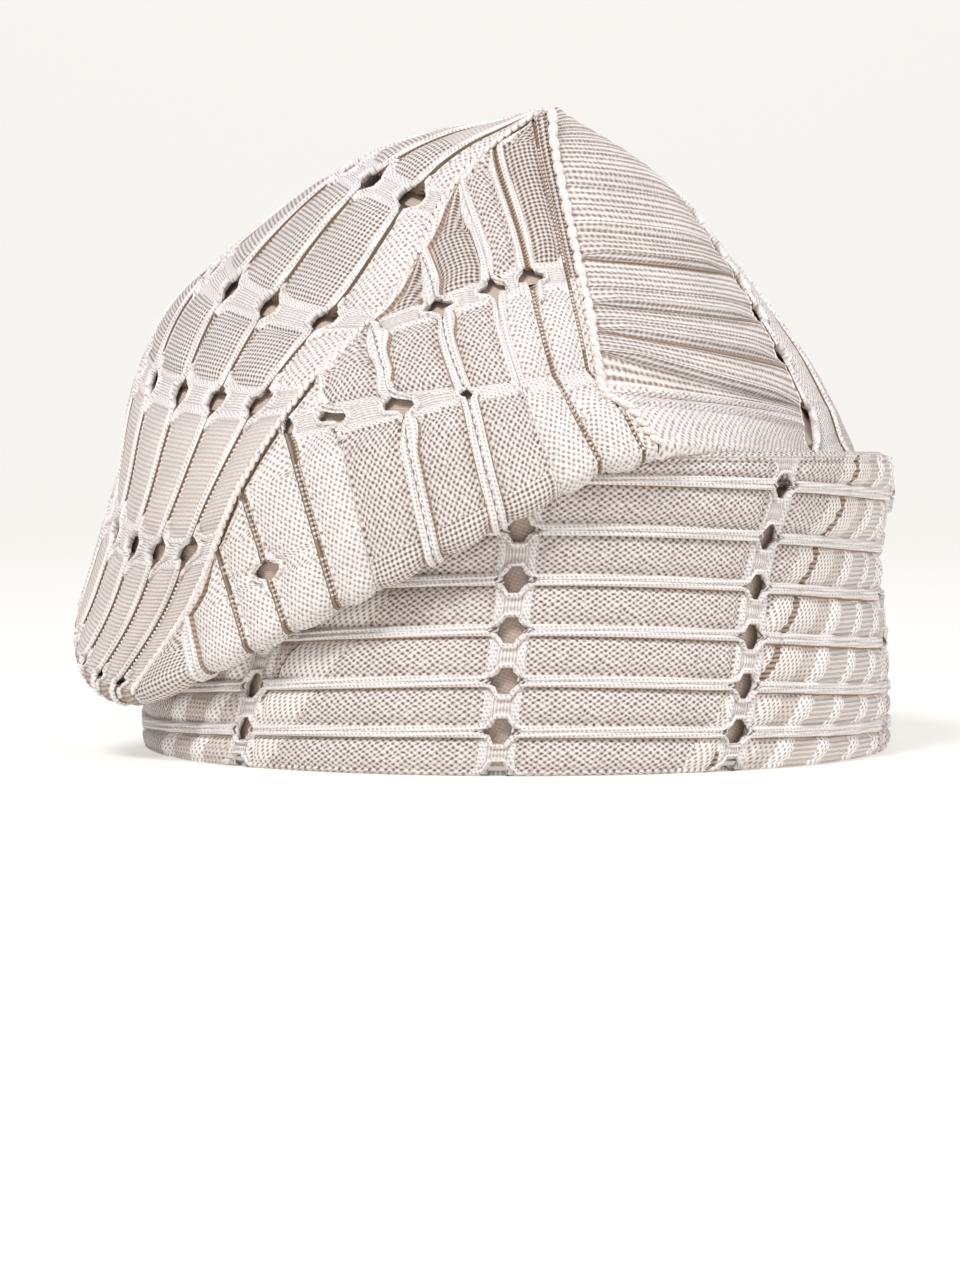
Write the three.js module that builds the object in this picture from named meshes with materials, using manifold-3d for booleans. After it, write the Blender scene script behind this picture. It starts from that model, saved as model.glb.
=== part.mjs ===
// Strip-woven fila cap: an upright openwork band and a lined crown that folds over it to one side.
// Millimetres, +Z up, front of the cap towards -Y, rim on the plane z = 0.
import * as THREE from 'three';
import { mergeVertices } from 'three/addons/utils/BufferGeometryUtils.js';
import Module from 'manifold-3d';

const wasm = await Module();
wasm.setup();

// Cloth
const clothWall = 1.6; // woven outer cloth of the crown
const bandWall = 2.2; // band cloth, folded double
const liningWall = 1.0;
const liningGap = 0.6; // air between cloth and lining
const seamGap = 0.3; // between neighbouring pieces
const puff = 0.9; // how far a woven cell stands proud of its ribs

// Band
const halfWidth = 84.2; // outside, side to side
const halfDepth = 102; // outside, front to back
const bandHeight = 66.5;
const bandTopRound = 1.1;
const hemWall = 4.4; // the band's top edge is turned in
const hemHeight = 6;
const waistDepth = 2.8; // how far the band draws in between rim and top
const waistTop = 61; // the band is upright again above this height
const waistSkew = 1.8; // puts the narrowest part above the middle
const bandSteps = 36; // facets round the band
const ribPitch = 10.45; // height from one rib of the band to the next
const firstRib = 9.3; // height of the lowest rib
const bandRibs = 6;
const holeColumns = 10;
const columnLean = 0.16; // sideways drift of a hole column for each unit of height
const firstColumnTurn = -0.05; // radians from the front
const liningFoot = 2; // lining starts this far above the rim
const liningTop = 56;
const liningStart = 75; // foot of the crown's lining

// Hexagonal holes, with two points along the rib
const holeLength = 6.4;
const holeWidth = 5.4;
const holeFlat = 2.9;
const holeDepth = 7; // length of the cutter

// Crown
const skirtFoot = 60; // lowest edge of the crown, inside the band
const skirtGap = 0.7; // clears the facets of the band
const skirtOffset = -(hemWall + skirtGap + clothWall / 2); // centre of the skirt from the band's outside
const lipRadius = 1.8; // fold of the overhanging lip
const returnOffset = 1.5; // cloth coming back up beside the band
const returnTop = bandHeight - 0.5; // where that cloth bends over the band's top edge
const overTop = bandHeight + 4 * seamGap + clothWall / 2; // cloth passing over the band's top edge
const hangStart = 2; // a lip further out than this begins to fold under
const hangFull = 5; // and from here on it folds all the way
const rightColumns = 13; // facets across the right panel
const rightCrowding = 1.4; // closer together towards the crease

// Ribs of each panel, as shares of its lip counted from the second of its two edges
const ribs = {
  crown_left: [0.071, 0.171, 0.281, 0.41, 0.543, 0.667, 0.781, 0.895],
  crown_front: [0.096, 0.168, 0.269, 0.385, 0.49, 0.564, 0.663, 0.745, 0.853],
  crown_back: [0.1, 0.2, 0.3, 0.4, 0.5, 0.6, 0.7, 0.8, 0.9],
};

// Crown sections from the lip to the ridge. Each column is a sewn edge or the middle of a panel, as x, y, z.
const sections = [
  {
    level: 'lip',
    frontLeft: [-82.2, -58, 15.5],
    front: [-31, -103, 41],
    frontRight: [28, -103, 71.6],
    right: [72.6, -15, 68.5],
    backRight: [64, 52, 69.5],
    back: [-2, 95, 70.5],
    backLeft: [-80, 42, 74],
    left: [-97, -20, 29.6],
  },
  {
    level: 'flap',
    frontLeft: [-68.7, -74, 34.7],
    front: [-25, -105.5, 53],
    frontRight: [21.7, -102, 75.5],
    right: [70, -15, 72.5],
    backRight: [63.5, 52, 74],
    back: [-2, 94, 76],
    backLeft: [-79, 42, 79],
    left: [-93, -23, 40],
  },
  {
    level: 'brow',
    frontLeft: [-58, -88, 58.6],
    front: [-16.2, -105, 70.7],
    frontRight: [16.7, -97, 79.3],
    right: [67.3, -14, 77.5],
    backRight: [61, 52, 80],
    back: [-2, 91, 84],
    backLeft: [-77, 42, 86],
    left: [-87.1, -27, 58.5],
  },
  {
    level: 'shoulder',
    frontLeft: [-42.7, -87, 81.4],
    front: [-12.4, -95, 88.6],
    frontRight: [14.4, -88, 92.5],
    right: [60.6, -13, 90],
    backRight: [54, 51, 92],
    back: [-2, 84, 97],
    backLeft: [-70, 43, 97],
    left: [-82.6, -24, 81.4],
  },
  {
    level: 'upper',
    frontLeft: [-25.8, -75, 99.6],
    front: [-6.7, -77, 107.2],
    frontRight: [10.9, -72, 109.9],
    right: [47.6, -12, 108],
    backRight: [40, 50, 107],
    back: [-2, 73, 110],
    backLeft: [-54, 43, 109],
    left: [-70.5, -16, 103.5],
  },
  {
    level: 'neck',
    frontLeft: [-12.3, -58, 125],
    front: [-2.4, -60, 126.6],
    frontRight: [7.3, -57, 130],
    right: [32, -10, 127],
    backRight: [21, 48, 120],
    back: [-2, 62, 119],
    backLeft: [-28, 46, 119],
    left: [-35, -14, 128.7],
  },
  {
    level: 'ridge',
    frontLeft: [6, -50.5, 140.5],
    front: [6, -50.5, 140.5],
    frontRight: [6, -50.5, 140.5],
    right: [6.2, -2, 140],
    backRight: [-2, 47, 126],
    back: [-2, 47, 126],
    backLeft: [-2, 47, 126],
    left: [6.2, -2, 140],
  },
];
const topLevel = sections.length - 1;

// Panels of the crown, each between two edges, counter-clockwise seen from above
const panels = {
  crown_left: { from: 'backLeft', middle: 'left', to: 'frontLeft', before: 'crown_back', after: 'crown_front' },
  crown_front: { from: 'frontLeft', middle: 'front', to: 'frontRight', before: 'crown_left', after: 'crown_right' },
  crown_right: { from: 'frontRight', middle: 'right', to: 'backRight', before: 'crown_front', after: 'crown_back' },
  crown_back: { from: 'backRight', middle: 'back', to: 'backLeft', before: 'crown_right', after: 'crown_left' },
};

// Rows of holes along the crown, a hole to a rib; the level runs evenly from the first rib to the last
const holeRows = [
  { panel: 'crown_front', firstRib: 0, lastRib: 5, firstLevel: 2.27, lastLevel: 2.55 },
  { panel: 'crown_front', firstRib: 0, lastRib: 2, firstLevel: 3.66, lastLevel: 3.52 },
  { panel: 'crown_front', firstRib: 6, lastRib: 6, firstLevel: 1.06, lastLevel: 1.06 },
  { panel: 'crown_left', firstRib: 0, lastRib: 6, firstLevel: 1.54, lastLevel: 1.8 },
  { panel: 'crown_left', firstRib: 0, lastRib: 6, firstLevel: 2.83, lastLevel: 3.3 },
  { panel: 'crown_left', firstRib: 0, lastRib: 6, firstLevel: 3.7, lastLevel: 4.45 },
  { panel: 'crown_left', firstRib: 0, lastRib: 5, firstLevel: 4.75, lastLevel: 5.05 },
  { panel: 'crown_back', firstRib: 2, lastRib: 6, firstLevel: 1.6, lastLevel: 1.6 },
];

// Column of holes down the right panel
const rightHoles = [
  { across: 0.35, level: 0.45 },
  { across: 0.39, level: 1.7 },
  { across: 0.41, level: 2.7 },
  { across: 0.42, level: 3.3 },
  { across: 0.47, level: 3.9 },
];

const clothFinish = new THREE.MeshStandardMaterial({ color: 0xdcd2cb, roughness: 0.9, metalness: 0 });
const liningFinish = new THREE.MeshStandardMaterial({ color: 0x7d6b5c, roughness: 0.85, metalness: 0 });

const lerp = THREE.MathUtils.lerp;
const clamp = THREE.MathUtils.clamp;

// Point of the band's outline at a turn from the front, moved outwards by an offset
function bandPoint(turn, offset, z) {
  return new THREE.Vector3((halfWidth + offset) * Math.sin(turn), -(halfDepth + offset) * Math.cos(turn), z);
}

// How far the band's wall stands in or out at a height
function waist(z) {
  return -waistDepth * Math.sin(Math.PI * Math.min(z / waistTop, 1) ** waistSkew) ** 2;
}

// Turn at which the outline has run a given length from the front
function turnAtArc(arc) {
  const step = Math.sign(arc) * 0.001;
  let turn = 0;
  let run = 0;
  while (run < Math.abs(arc)) {
    run += Math.abs(step) * Math.hypot(halfWidth * Math.cos(turn), halfDepth * Math.sin(turn));
    turn += step;
  }
  return turn;
}

// Smooth curve of one column of the section table, from lip to ridge
const rails = {};
for (const column of Object.keys(sections[0]).filter((name) => name !== 'level')) {
  const points = sections.map((row) => new THREE.Vector3(...row[column]));
  rails[column] = new THREE.CatmullRomCurve3(points, false, 'catmullrom', 0.5);
}

// Middle surface of a panel: a parabola across it through edge, middle and edge
function panelPoint(name, across, level) {
  const { from, middle, to } = panels[name];
  const t = level / topLevel;
  const start = rails[from].getPoint(t).multiplyScalar((2 * across - 1) * (across - 1));
  const half = rails[middle].getPoint(t).multiplyScalar(4 * across * (1 - across));
  const end = rails[to].getPoint(t).multiplyScalar(across * (2 * across - 1));
  return start.add(half).add(end);
}

// Rows of the foot where the cloth crosses the band's top without folding, as shares of the way to the lip
const crossingRows = [
  { out: 0.25, up: 0.4 },
  { out: 0.4, up: 0.5 },
  { out: 0.6, up: 0.65 },
  { out: 0.75, up: 0.8 },
  { out: 0.9, up: 0.9 },
];
const footRows = crossingRows.length + 2;

// Way of the cloth from inside the band to the lip, as offset from the band's outside and height.
// An overhanging lip folds back up to the band's top edge; a short one crosses that edge; elsewhere
// the cloth leans straight inwards.
function footPath(offset, z) {
  const hang = THREE.MathUtils.smoothstep(offset, hangStart, hangFull);
  const crosses = THREE.MathUtils.smoothstep(offset, skirtOffset, skirtOffset + lipRadius);
  const returnZ = Math.max(z, returnTop);
  const folded = [
    [skirtOffset, skirtFoot],
    [skirtOffset, bandHeight],
    [-hemWall / 2, overTop],
    [returnOffset, returnZ],
    [returnOffset, lerp(returnZ, z, 0.6)],
    [offset - 2 * lipRadius, z],
    [offset - lipRadius, z - lipRadius],
  ];
  const crossing = [
    [skirtOffset, skirtFoot],
    [skirtOffset, bandHeight],
    ...crossingRows.map(({ out, up }) => [lerp(skirtOffset, offset, out), lerp(overTop, z, up)]),
  ];
  return folded.map((spot, row) => {
    const straight = [lerp(skirtOffset, offset, row / footRows), lerp(skirtFoot, z, row / footRows)];
    return spot.map((value, i) => lerp(lerp(straight[i], crossing[row][i], crosses), value, hang));
  });
}

// Levels of the facet rows above the foot
const levelRows = [0, 0.6, 1.3, 2, 2.6, 3.3, 4.2, 5.1, 5.6, 6];
// Panels that stop below the ridge; at the front this leaves a small slit
const panelTops = { crown_left: topLevel, crown_front: 5.6, crown_right: topLevel, crown_back: 5.92 };
const lastRow = footRows + levelRows.length - 1;

// Middle surface at a facet row, counted from the skirt's edge up
function rowPoint(name, across, row) {
  if (row >= footRows) {
    return panelPoint(name, across, Math.min(levelRows[row - footRows], panelTops[name]));
  }
  const lip = panelPoint(name, across, 0);
  const reach = Math.hypot(lip.x, lip.y);
  const outline = reach / Math.hypot(lip.x / halfWidth, lip.y / halfDepth);
  const [offset, z] = footPath(reach - outline, lip.z)[row];
  const scale = (outline + offset) / reach;
  return new THREE.Vector3(lip.x * scale, lip.y * scale, z);
}

// Unit directions across, up and out of a panel
function frameAt(name, across, row) {
  const step = 0.01;
  const right = rowPoint(name, Math.min(across + step, 1), row);
  const left = rowPoint(name, Math.max(across - step, 0), row);
  const up = rowPoint(name, across, Math.min(row + 1, lastRow));
  const down = rowPoint(name, across, Math.max(row - 1, 0));
  const along = right.sub(left).normalize();
  const rise = up.sub(down).normalize();
  const out = new THREE.Vector3().crossVectors(along, rise).normalize();
  return { along, rise, out };
}

// Outward direction shared by neighbouring panels, longer where the surface turns, so that walls mitre
function sharedOut(name, across, row) {
  const own = frameAt(name, across, row).out;
  const others = [];
  if (across < 1e-6) others.push(frameAt(panels[name].before, 1, row).out);
  if (across > 1 - 1e-6) others.push(frameAt(panels[name].after, 0, row).out);
  if (row === lastRow && name === 'crown_left') others.push(frameAt('crown_right', 1 - across, row).out);
  if (row === lastRow && name === 'crown_right') others.push(frameAt('crown_left', 1 - across, row).out);
  const out = own.clone();
  for (const other of others) out.add(other);
  out.normalize();
  return out.divideScalar(Math.max(out.dot(own), 0.7));
}

// Place across a panel of a rib at a level; the slanting seam cuts the front panel's ribs off in turn
function acrossOfRib(name, share, level) {
  const width = name === 'crown_front' ? 1 - level / topLevel : 1;
  return clamp(1 - share / width, 0, 1);
}

// Place of facet columns across a panel, from one edge to the other: on each rib and half way between
function columnsOf(name, level) {
  if (name === 'crown_right') {
    return Array.from({ length: rightColumns }, (_, i) => (i / (rightColumns - 1)) ** rightCrowding);
  }
  const places = [1];
  const shares = [0, ...ribs[name], 1];
  for (let i = 1; i < shares.length; i += 1) {
    const half = (shares[i - 1] + shares[i]) / 2;
    if (name !== 'crown_back') places.push(acrossOfRib(name, half, level));
    places.push(acrossOfRib(name, shares[i], level));
  }
  return places.reverse();
}

// Cells swell between ribs: every other column of a panel, or every other row of the right one
function swell(name, column, row, across) {
  const proud = name === 'crown_right' ? row % 2 === 1 : column % 2 === 1;
  const free = name !== 'crown_back' && across > 0 && across < 1;
  return proud && free ? puff : 0;
}

// Closed mesh from two grids of points, an outside and an inside, as rows of columns
function wallGeometry(outside, inside, ring) {
  const rows = outside.length;
  const columns = outside[0].length;
  const points = [...outside.flat(), ...inside.flat()];
  const positions = new Float32Array(points.flatMap((point) => [point.x, point.y, point.z]));
  const triangles = [];
  const quad = (a, b, c, d) => triangles.push(a, b, c, a, c, d);
  const outer = (row, column) => row * columns + (column % columns);
  const inner = (row, column) => rows * columns + outer(row, column);
  const spans = ring ? columns : columns - 1;
  for (let row = 0; row < rows - 1; row += 1) {
    for (let column = 0; column < spans; column += 1) {
      const next = column + 1;
      quad(outer(row, column), outer(row, next), outer(row + 1, next), outer(row + 1, column));
      quad(inner(row, column), inner(row + 1, column), inner(row + 1, next), inner(row, next));
    }
    if (!ring) {
      const last = columns - 1;
      quad(outer(row, 0), outer(row + 1, 0), inner(row + 1, 0), inner(row, 0));
      quad(outer(row, last), inner(row, last), inner(row + 1, last), outer(row + 1, last));
    }
  }
  for (let column = 0; column < spans; column += 1) {
    const next = column + 1;
    const top = rows - 1;
    quad(outer(0, column), inner(0, column), inner(0, next), outer(0, next));
    quad(outer(top, column), outer(top, next), inner(top, next), inner(top, column));
  }
  const geometry = new THREE.BufferGeometry();
  geometry.setAttribute('position', new THREE.BufferAttribute(positions, 3));
  geometry.setIndex(triangles);
  return geometry;
}

// Geometry with shared vertices merged and collapsed triangles dropped, as a solid
function solidOf(geometry) {
  const bare = geometry.clone();
  bare.deleteAttribute('normal');
  bare.deleteAttribute('uv');
  const merged = mergeVertices(bare, 1e-3);
  const index = merged.index.array;
  const kept = [];
  for (let i = 0; i < index.length; i += 3) {
    const [a, b, c] = [index[i], index[i + 1], index[i + 2]];
    if (a !== b && b !== c && c !== a) kept.push(a, b, c);
  }
  const vertProperties = new Float32Array(merged.attributes.position.array);
  return new wasm.Manifold(new wasm.Mesh({ numProp: 3, vertProperties, triVerts: new Uint32Array(kept) }));
}

function meshOf(name, solid, finish) {
  const data = solid.getMesh();
  const geometry = new THREE.BufferGeometry();
  geometry.setAttribute('position', new THREE.BufferAttribute(new Float32Array(data.vertProperties), 3));
  geometry.setIndex(Array.from(data.triVerts));
  geometry.computeVertexNormals();
  const mesh = new THREE.Mesh(geometry, finish);
  mesh.name = name;
  return mesh;
}

// Hexagonal cutter with its points along the rib
const hexagon = new THREE.Shape([
  new THREE.Vector2(holeLength / 2, 0),
  new THREE.Vector2(holeFlat / 2, holeWidth / 2),
  new THREE.Vector2(-holeFlat / 2, holeWidth / 2),
  new THREE.Vector2(-holeLength / 2, 0),
  new THREE.Vector2(-holeFlat / 2, -holeWidth / 2),
  new THREE.Vector2(holeFlat / 2, -holeWidth / 2),
]);

function holeCutter(place, along, out) {
  const side = new THREE.Vector3().crossVectors(out, along).normalize();
  const straight = new THREE.Vector3().crossVectors(side, out).normalize();
  const geometry = new THREE.ExtrudeGeometry(hexagon, { depth: holeDepth, bevelEnabled: false });
  geometry.translate(0, 0, -holeDepth / 2);
  geometry.applyMatrix4(new THREE.Matrix4().makeBasis(straight, side, out).setPosition(place));
  return solidOf(geometry);
}

function pierced(solid, cutters) {
  return cutters.reduce((cut, cutter) => cut.subtract(cutter), solid);
}

// Band: a ring whose section swells between the ribs, rounded at the top and flat on the rim
function bandSection() {
  const section = [
    [-0.5, 0],
    [0, 0.9],
  ];
  for (let rib = 0; rib < bandRibs; rib += 1) {
    const z = firstRib + rib * ribPitch;
    section.push([-puff / 3, z]);
    if (rib < bandRibs - 1) section.push([puff / 2, z + ribPitch / 2]);
  }
  section.push([0, bandHeight - bandTopRound], [-bandTopRound, bandHeight]);
  return section;
}

function makeBand() {
  const outside = [];
  const inside = [];
  for (const [offset, z] of bandSection()) {
    const outerRow = [];
    const innerRow = [];
    for (let step = 0; step < bandSteps; step += 1) {
      const turn = (step / bandSteps) * 2 * Math.PI;
      outerRow.push(bandPoint(turn, waist(z) + offset, z));
      innerRow.push(bandPoint(turn, waist(z) - wallAt(z), Math.min(z, bandHeight - bandTopRound)));
    }
    outside.push(outerRow);
    inside.push(innerRow);
  }
  const plainInside = inside.map((row, i) => inside[plainRow(i, inside.length - 1)]);
  const cutters = [];
  const outlineLength = outlineArc();
  for (let column = 0; column < holeColumns; column += 1) {
    for (let rib = 0; rib < bandRibs - 1; rib += 1) {
      const z = firstRib + rib * ribPitch;
      const middle = (firstRib + (bandRibs - 2) * ribPitch) / 2;
      const lean = (z - middle) * columnLean;
      const arc = firstColumnTurn * halfWidth + (column / holeColumns - 0.5) * outlineLength + lean;
      const turn = turnAtArc(arc);
      const along = bandPoint(turn + 0.01, 0, z).sub(bandPoint(turn - 0.01, 0, z)).normalize();
      const out = new THREE.Vector3(along.y, -along.x, 0);
      cutters.push(holeCutter(bandPoint(turn, waist(z) - bandWall / 2, z), along, out));
    }
  }
  return meshOf('band', pierced(solidOf(wallGeometry(outside, plainInside, true)), cutters), clothFinish);
}

function wallAt(z) {
  return z > bandHeight - hemHeight ? hemWall : bandWall;
}

// The inside of the band has few rows: each row takes the place of the nearest one that is kept
function plainRow(row, last) {
  const kept = [0, last - 7, last - 3, last - 2, last];
  return kept.reduce((best, next) => (Math.abs(next - row) < Math.abs(best - row) ? next : best));
}

function outlineArc() {
  let length = 0;
  const steps = 720;
  for (let step = 0; step < steps; step += 1) {
    const here = bandPoint((step / steps) * 2 * Math.PI, 0, 0);
    length += here.distanceTo(bandPoint(((step + 1) / steps) * 2 * Math.PI, 0, 0));
  }
  return length;
}

function makeBandLining() {
  const outer = -(bandWall + liningGap);
  const ringAt = (offset, z) =>
    Array.from({ length: bandSteps }, (_, step) => bandPoint((step / bandSteps) * 2 * Math.PI, offset, z));
  const heights = [liningFoot, firstRib + 2.5 * ribPitch, liningTop];
  const outside = heights.map((z) => ringAt(waist(z) + outer, z));
  const inside = heights.map((z) => ringAt(waist(z) + outer - liningWall, z));
  return meshOf('band_lining', solidOf(wallGeometry(outside, inside, true)), liningFinish);
}

function makePanel(name) {
  const outside = [];
  const inside = [];
  for (let row = 0; row <= lastRow; row += 1) {
    const level = row < footRows ? 0 : Math.min(levelRows[row - footRows], panelTops[name]);
    const outerRow = [];
    const innerRow = [];
    columnsOf(name, level).forEach((across, column) => {
      const frame = frameAt(name, across, row);
      const out = sharedOut(name, across, row);
      const place = rowPoint(name, across, row);
      if (row >= footRows) place.addScaledVector(frame.out, swell(name, column, row, across));
      if (across === 0) place.addScaledVector(frame.along, seamGap / 2);
      if (across === 1) place.addScaledVector(frame.along, -seamGap / 2);
      if (level === topLevel) place.addScaledVector(frame.rise, -seamGap);
      outerRow.push(place.clone().addScaledVector(out, clothWall / 2));
      innerRow.push(place.clone().addScaledVector(out, -clothWall / 2));
    });
    outside.push(outerRow);
    inside.push(innerRow);
  }
  return meshOf(name, pierced(solidOf(wallGeometry(outside, inside, false)), panelCutters(name)), clothFinish);
}

// Cutter square to a panel, with its points along the rib
function cutterAt(name, across, level) {
  const step = 0.02;
  const here = panelPoint(name, across, level);
  const over = panelPoint(name, across + step, level).sub(panelPoint(name, across - step, level)).normalize();
  const rise = panelPoint(name, across, level + step).sub(panelPoint(name, across, level - step)).normalize();
  const out = new THREE.Vector3().crossVectors(over, rise).normalize();
  return holeCutter(here, rise, out);
}

function panelCutters(name) {
  const cutters = [];
  for (const row of holeRows.filter((entry) => entry.panel === name)) {
    const steps = Math.max(row.lastRib - row.firstRib, 1);
    for (let rib = row.firstRib; rib <= row.lastRib; rib += 1) {
      const level = lerp(row.firstLevel, row.lastLevel, (rib - row.firstRib) / steps);
      cutters.push(cutterAt(name, acrossOfRib(name, ribs[name][rib], level), level));
    }
  }
  if (name === 'crown_right') {
    for (const hole of rightHoles) cutters.push(cutterAt(name, hole.across, hole.level));
  }
  return cutters;
}

// Lowest level of a panel that is clear above the band
function levelAbove(name, across, z) {
  let level = 0;
  while (panelPoint(name, across, level).z < z) level += 0.05;
  return level;
}

// Crown lining: one bag close behind the four panels, from the band's top to the ridge, open below
function makeCrownLining() {
  const columnsEach = 6;
  const depth = clothWall / 2 + liningGap;
  const outside = [];
  const inside = [];
  for (const rowLevel of levelRows.slice(1)) {
    const outerRow = [];
    const innerRow = [];
    for (const name of Object.keys(panels)) {
      for (let column = 0; column < columnsEach; column += 1) {
        const across = column / columnsEach;
        const level = Math.max(rowLevel, levelAbove(name, across, liningStart));
        const out = liningOut(name, across, level);
        const place = panelPoint(name, across, level);
        outerRow.push(place.clone().addScaledVector(out, -depth));
        innerRow.push(place.clone().addScaledVector(out, -depth - liningWall));
      }
    }
    outside.push(outerRow);
    inside.push(innerRow);
  }
  return meshOf('crown_lining', solidOf(wallGeometry(outside, inside, true)), liningFinish);
}

// Direction out of a panel between facet rows
function outAt(name, across, level) {
  const step = 0.02;
  const right = panelPoint(name, Math.min(across + step, 1), level);
  const left = panelPoint(name, Math.max(across - step, 0), level);
  const up = panelPoint(name, across, Math.min(level + step, topLevel));
  const down = panelPoint(name, across, Math.max(level - step, 0));
  return right.sub(left).cross(up.sub(down)).normalize();
}

// Along the ridge the lining turns straight down, so that its two sides meet
function liningOut(name, across, level) {
  if (level > topLevel - 0.01) return new THREE.Vector3(0, 0, 3);
  const out = outAt(name, across, level);
  if (across === 0) out.add(outAt(panels[name].before, 1, level)).normalize();
  return out;
}

const cap = new THREE.Group();
cap.add(makeBand(), makeBandLining());
for (const name of Object.keys(panels)) cap.add(makePanel(name));
cap.add(makeCrownLining());

// Origin under the middle of the cap, on the plane of the rim
const box = new THREE.Box3().setFromObject(cap);
cap.position.set(-(box.min.x + box.max.x) / 2, -(box.min.y + box.max.y) / 2, -box.min.z);

export default cap;
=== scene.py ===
import math
from functools import partial
import bpy
import bmesh
import numpy as np
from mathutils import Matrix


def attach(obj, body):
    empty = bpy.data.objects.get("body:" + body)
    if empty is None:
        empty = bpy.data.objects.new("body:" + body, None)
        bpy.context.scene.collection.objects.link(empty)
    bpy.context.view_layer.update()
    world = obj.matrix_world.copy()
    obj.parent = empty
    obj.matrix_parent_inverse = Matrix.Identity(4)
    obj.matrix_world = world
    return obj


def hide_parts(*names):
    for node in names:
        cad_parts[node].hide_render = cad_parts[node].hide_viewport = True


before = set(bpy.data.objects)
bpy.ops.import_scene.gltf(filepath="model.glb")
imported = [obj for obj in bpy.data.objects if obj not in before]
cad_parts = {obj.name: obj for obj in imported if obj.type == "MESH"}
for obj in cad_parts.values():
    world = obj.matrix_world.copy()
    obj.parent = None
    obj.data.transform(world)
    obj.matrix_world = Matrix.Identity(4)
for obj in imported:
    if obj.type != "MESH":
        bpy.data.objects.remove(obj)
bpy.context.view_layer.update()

print("frame loaded, nodes:", sorted(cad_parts))

# lengths are millimetres with the band's middle at x = y = 0, unless a note says metres
capShift = np.array([7.107, 3.968, 0.0])  # from there to the part's own frame
metres = 0.001


def toMetres(points):
    return (np.asarray(points, float) + capShift) * metres


def linearColour(hexText):
    out = []
    for i in (0, 2, 4):
        c = int(hexText[i:i + 2], 16) / 255
        out.append(c / 12.92 if c <= 0.04045 else ((c + 0.055) / 1.055) ** 2.4)
    return (*out, 1.0)


# gives a node's inputs their links, which are output sockets, or their plain values
def setInputs(tree, node, given):
    for socket, value in given.items():
        if isinstance(value, bpy.types.NodeSocket):
            tree.links.new(value, node.inputs[socket])
        else:
            node.inputs[socket].default_value = value


# adds one node and gives back one of its outputs, or the node itself; a short kind is a shader node
def addNode(tree, kind, given=None, out=0, **settings):
    node = tree.nodes.new(kind if "Node" in kind else "ShaderNode" + kind)
    for name, value in settings.items():
        setattr(node, name, value)
    setInputs(tree, node, given or {})
    return node if out is None else node.outputs[out]


def addObject(name, data):
    obj = bpy.data.objects.new(name, data)
    bpy.context.scene.collection.objects.link(obj)
    return obj


def smooth(x, low, high):
    t = np.clip((np.asarray(x, float) - low) / (high - low), 0, 1)
    return t * t * (3 - 2 * t)


def mixed(a, b, t):
    return a + (b - a) * t


def hump(x, middle, wide):
    return np.exp(-((x - middle) / wide) ** 2)


def unit(v):
    return v / np.maximum(np.linalg.norm(v, axis=-1, keepdims=True), 1e-9)


# millimetres of cloth to one unit of a surface's coordinates, by a small step across or along it
def stretch(surface, a, v, da=0.0, dv=0.0):
    return np.linalg.norm(surface(a + da, v + dv) - surface(a - da, v - dv), axis=-1) / (2 * (da + dv))


def outwardOf(surface, a, v, da, dv):
    return unit(np.cross(surface(a + da, v) - surface(a - da, v), surface(a, v + dv) - surface(a, v - dv)))


def runLength(points):
    return np.concatenate([[0], np.cumsum(np.linalg.norm(np.diff(points, axis=0), axis=1))])


# camera first: the picture is 960 x 1280, the long side on the sensor
camera = dict(place=(-8.2, -1050.0, 67.0), focalPixels=4600.0, horizonRow=452.0, imageHeight=1280.0,
    sensor=36.0, clip=(0.01, 50.0))


def makeCamera(spec):
    data = bpy.data.cameras.new("camera")
    data.sensor_width = spec["sensor"]
    data.lens = spec["sensor"] * spec["focalPixels"] / spec["imageHeight"]
    data.clip_start, data.clip_end = spec["clip"]
    obj = addObject("camera", data)
    obj.location = toMetres(spec["place"])
    down = math.atan((spec["imageHeight"] / 2 - spec["horizonRow"]) / spec["focalPixels"])
    obj.rotation_euler = (math.pi / 2 - down, 0, 0)
    bpy.context.scene.camera = obj


makeCamera(camera)

# materials: woven cloths read the UV map "threads", millimetres of cloth (u across a strip, v along it)
cottonIor = 0.2  # specular level of matt cotton
# rise is metres from a pinhole to the top of a thread; a crown starts and is full so far past the gap
threadLook = dict(rise=0.00035, drift=0.55, crown=(-0.1, 0.9), crownRise=0.6, fuzzRise=0.25,
    noiseSpan=(0.3, 0.7))
# cloth noise: features to a millimetre, and detail; fuzz is coarser than fibres so that it shows
clothNoise = dict(speck=(1.1, 1.0), fade=(0.07, 3.0), fuzz=(3.0, 3.0))
clothWear = dict(fade=(0.94, 1.04), fuzz=(0.9, 1.08))  # darkest and lightest that it makes the cloth


def startMaterial(name, roughness, sheen):
    material = bpy.data.materials.new(name)
    material.use_nodes = True
    tree = material.node_tree
    shader = tree.nodes["Principled BSDF"]
    setInputs(tree, shader, {"Roughness": roughness, "Specular IOR Level": cottonIor,
        "Sheen Weight": sheen})
    return material, tree, shader


def finishMaterial(tree, shader, colour, height, strength, rise):
    bump = addNode(tree, "Bump", {"Strength": strength, "Distance": rise, "Height": height})
    setInputs(tree, shader, {"Base Color": colour, "Normal": bump})


# a wave of the given pitch along one axis, -1 to 1
def threadWave(tree, socket, pitch):
    phase = addNode(tree, "Math", {0: socket, 1: 2 * math.pi / pitch}, operation="MULTIPLY")
    return addNode(tree, "Math", {0: phase}, operation="COSINE")


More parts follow.
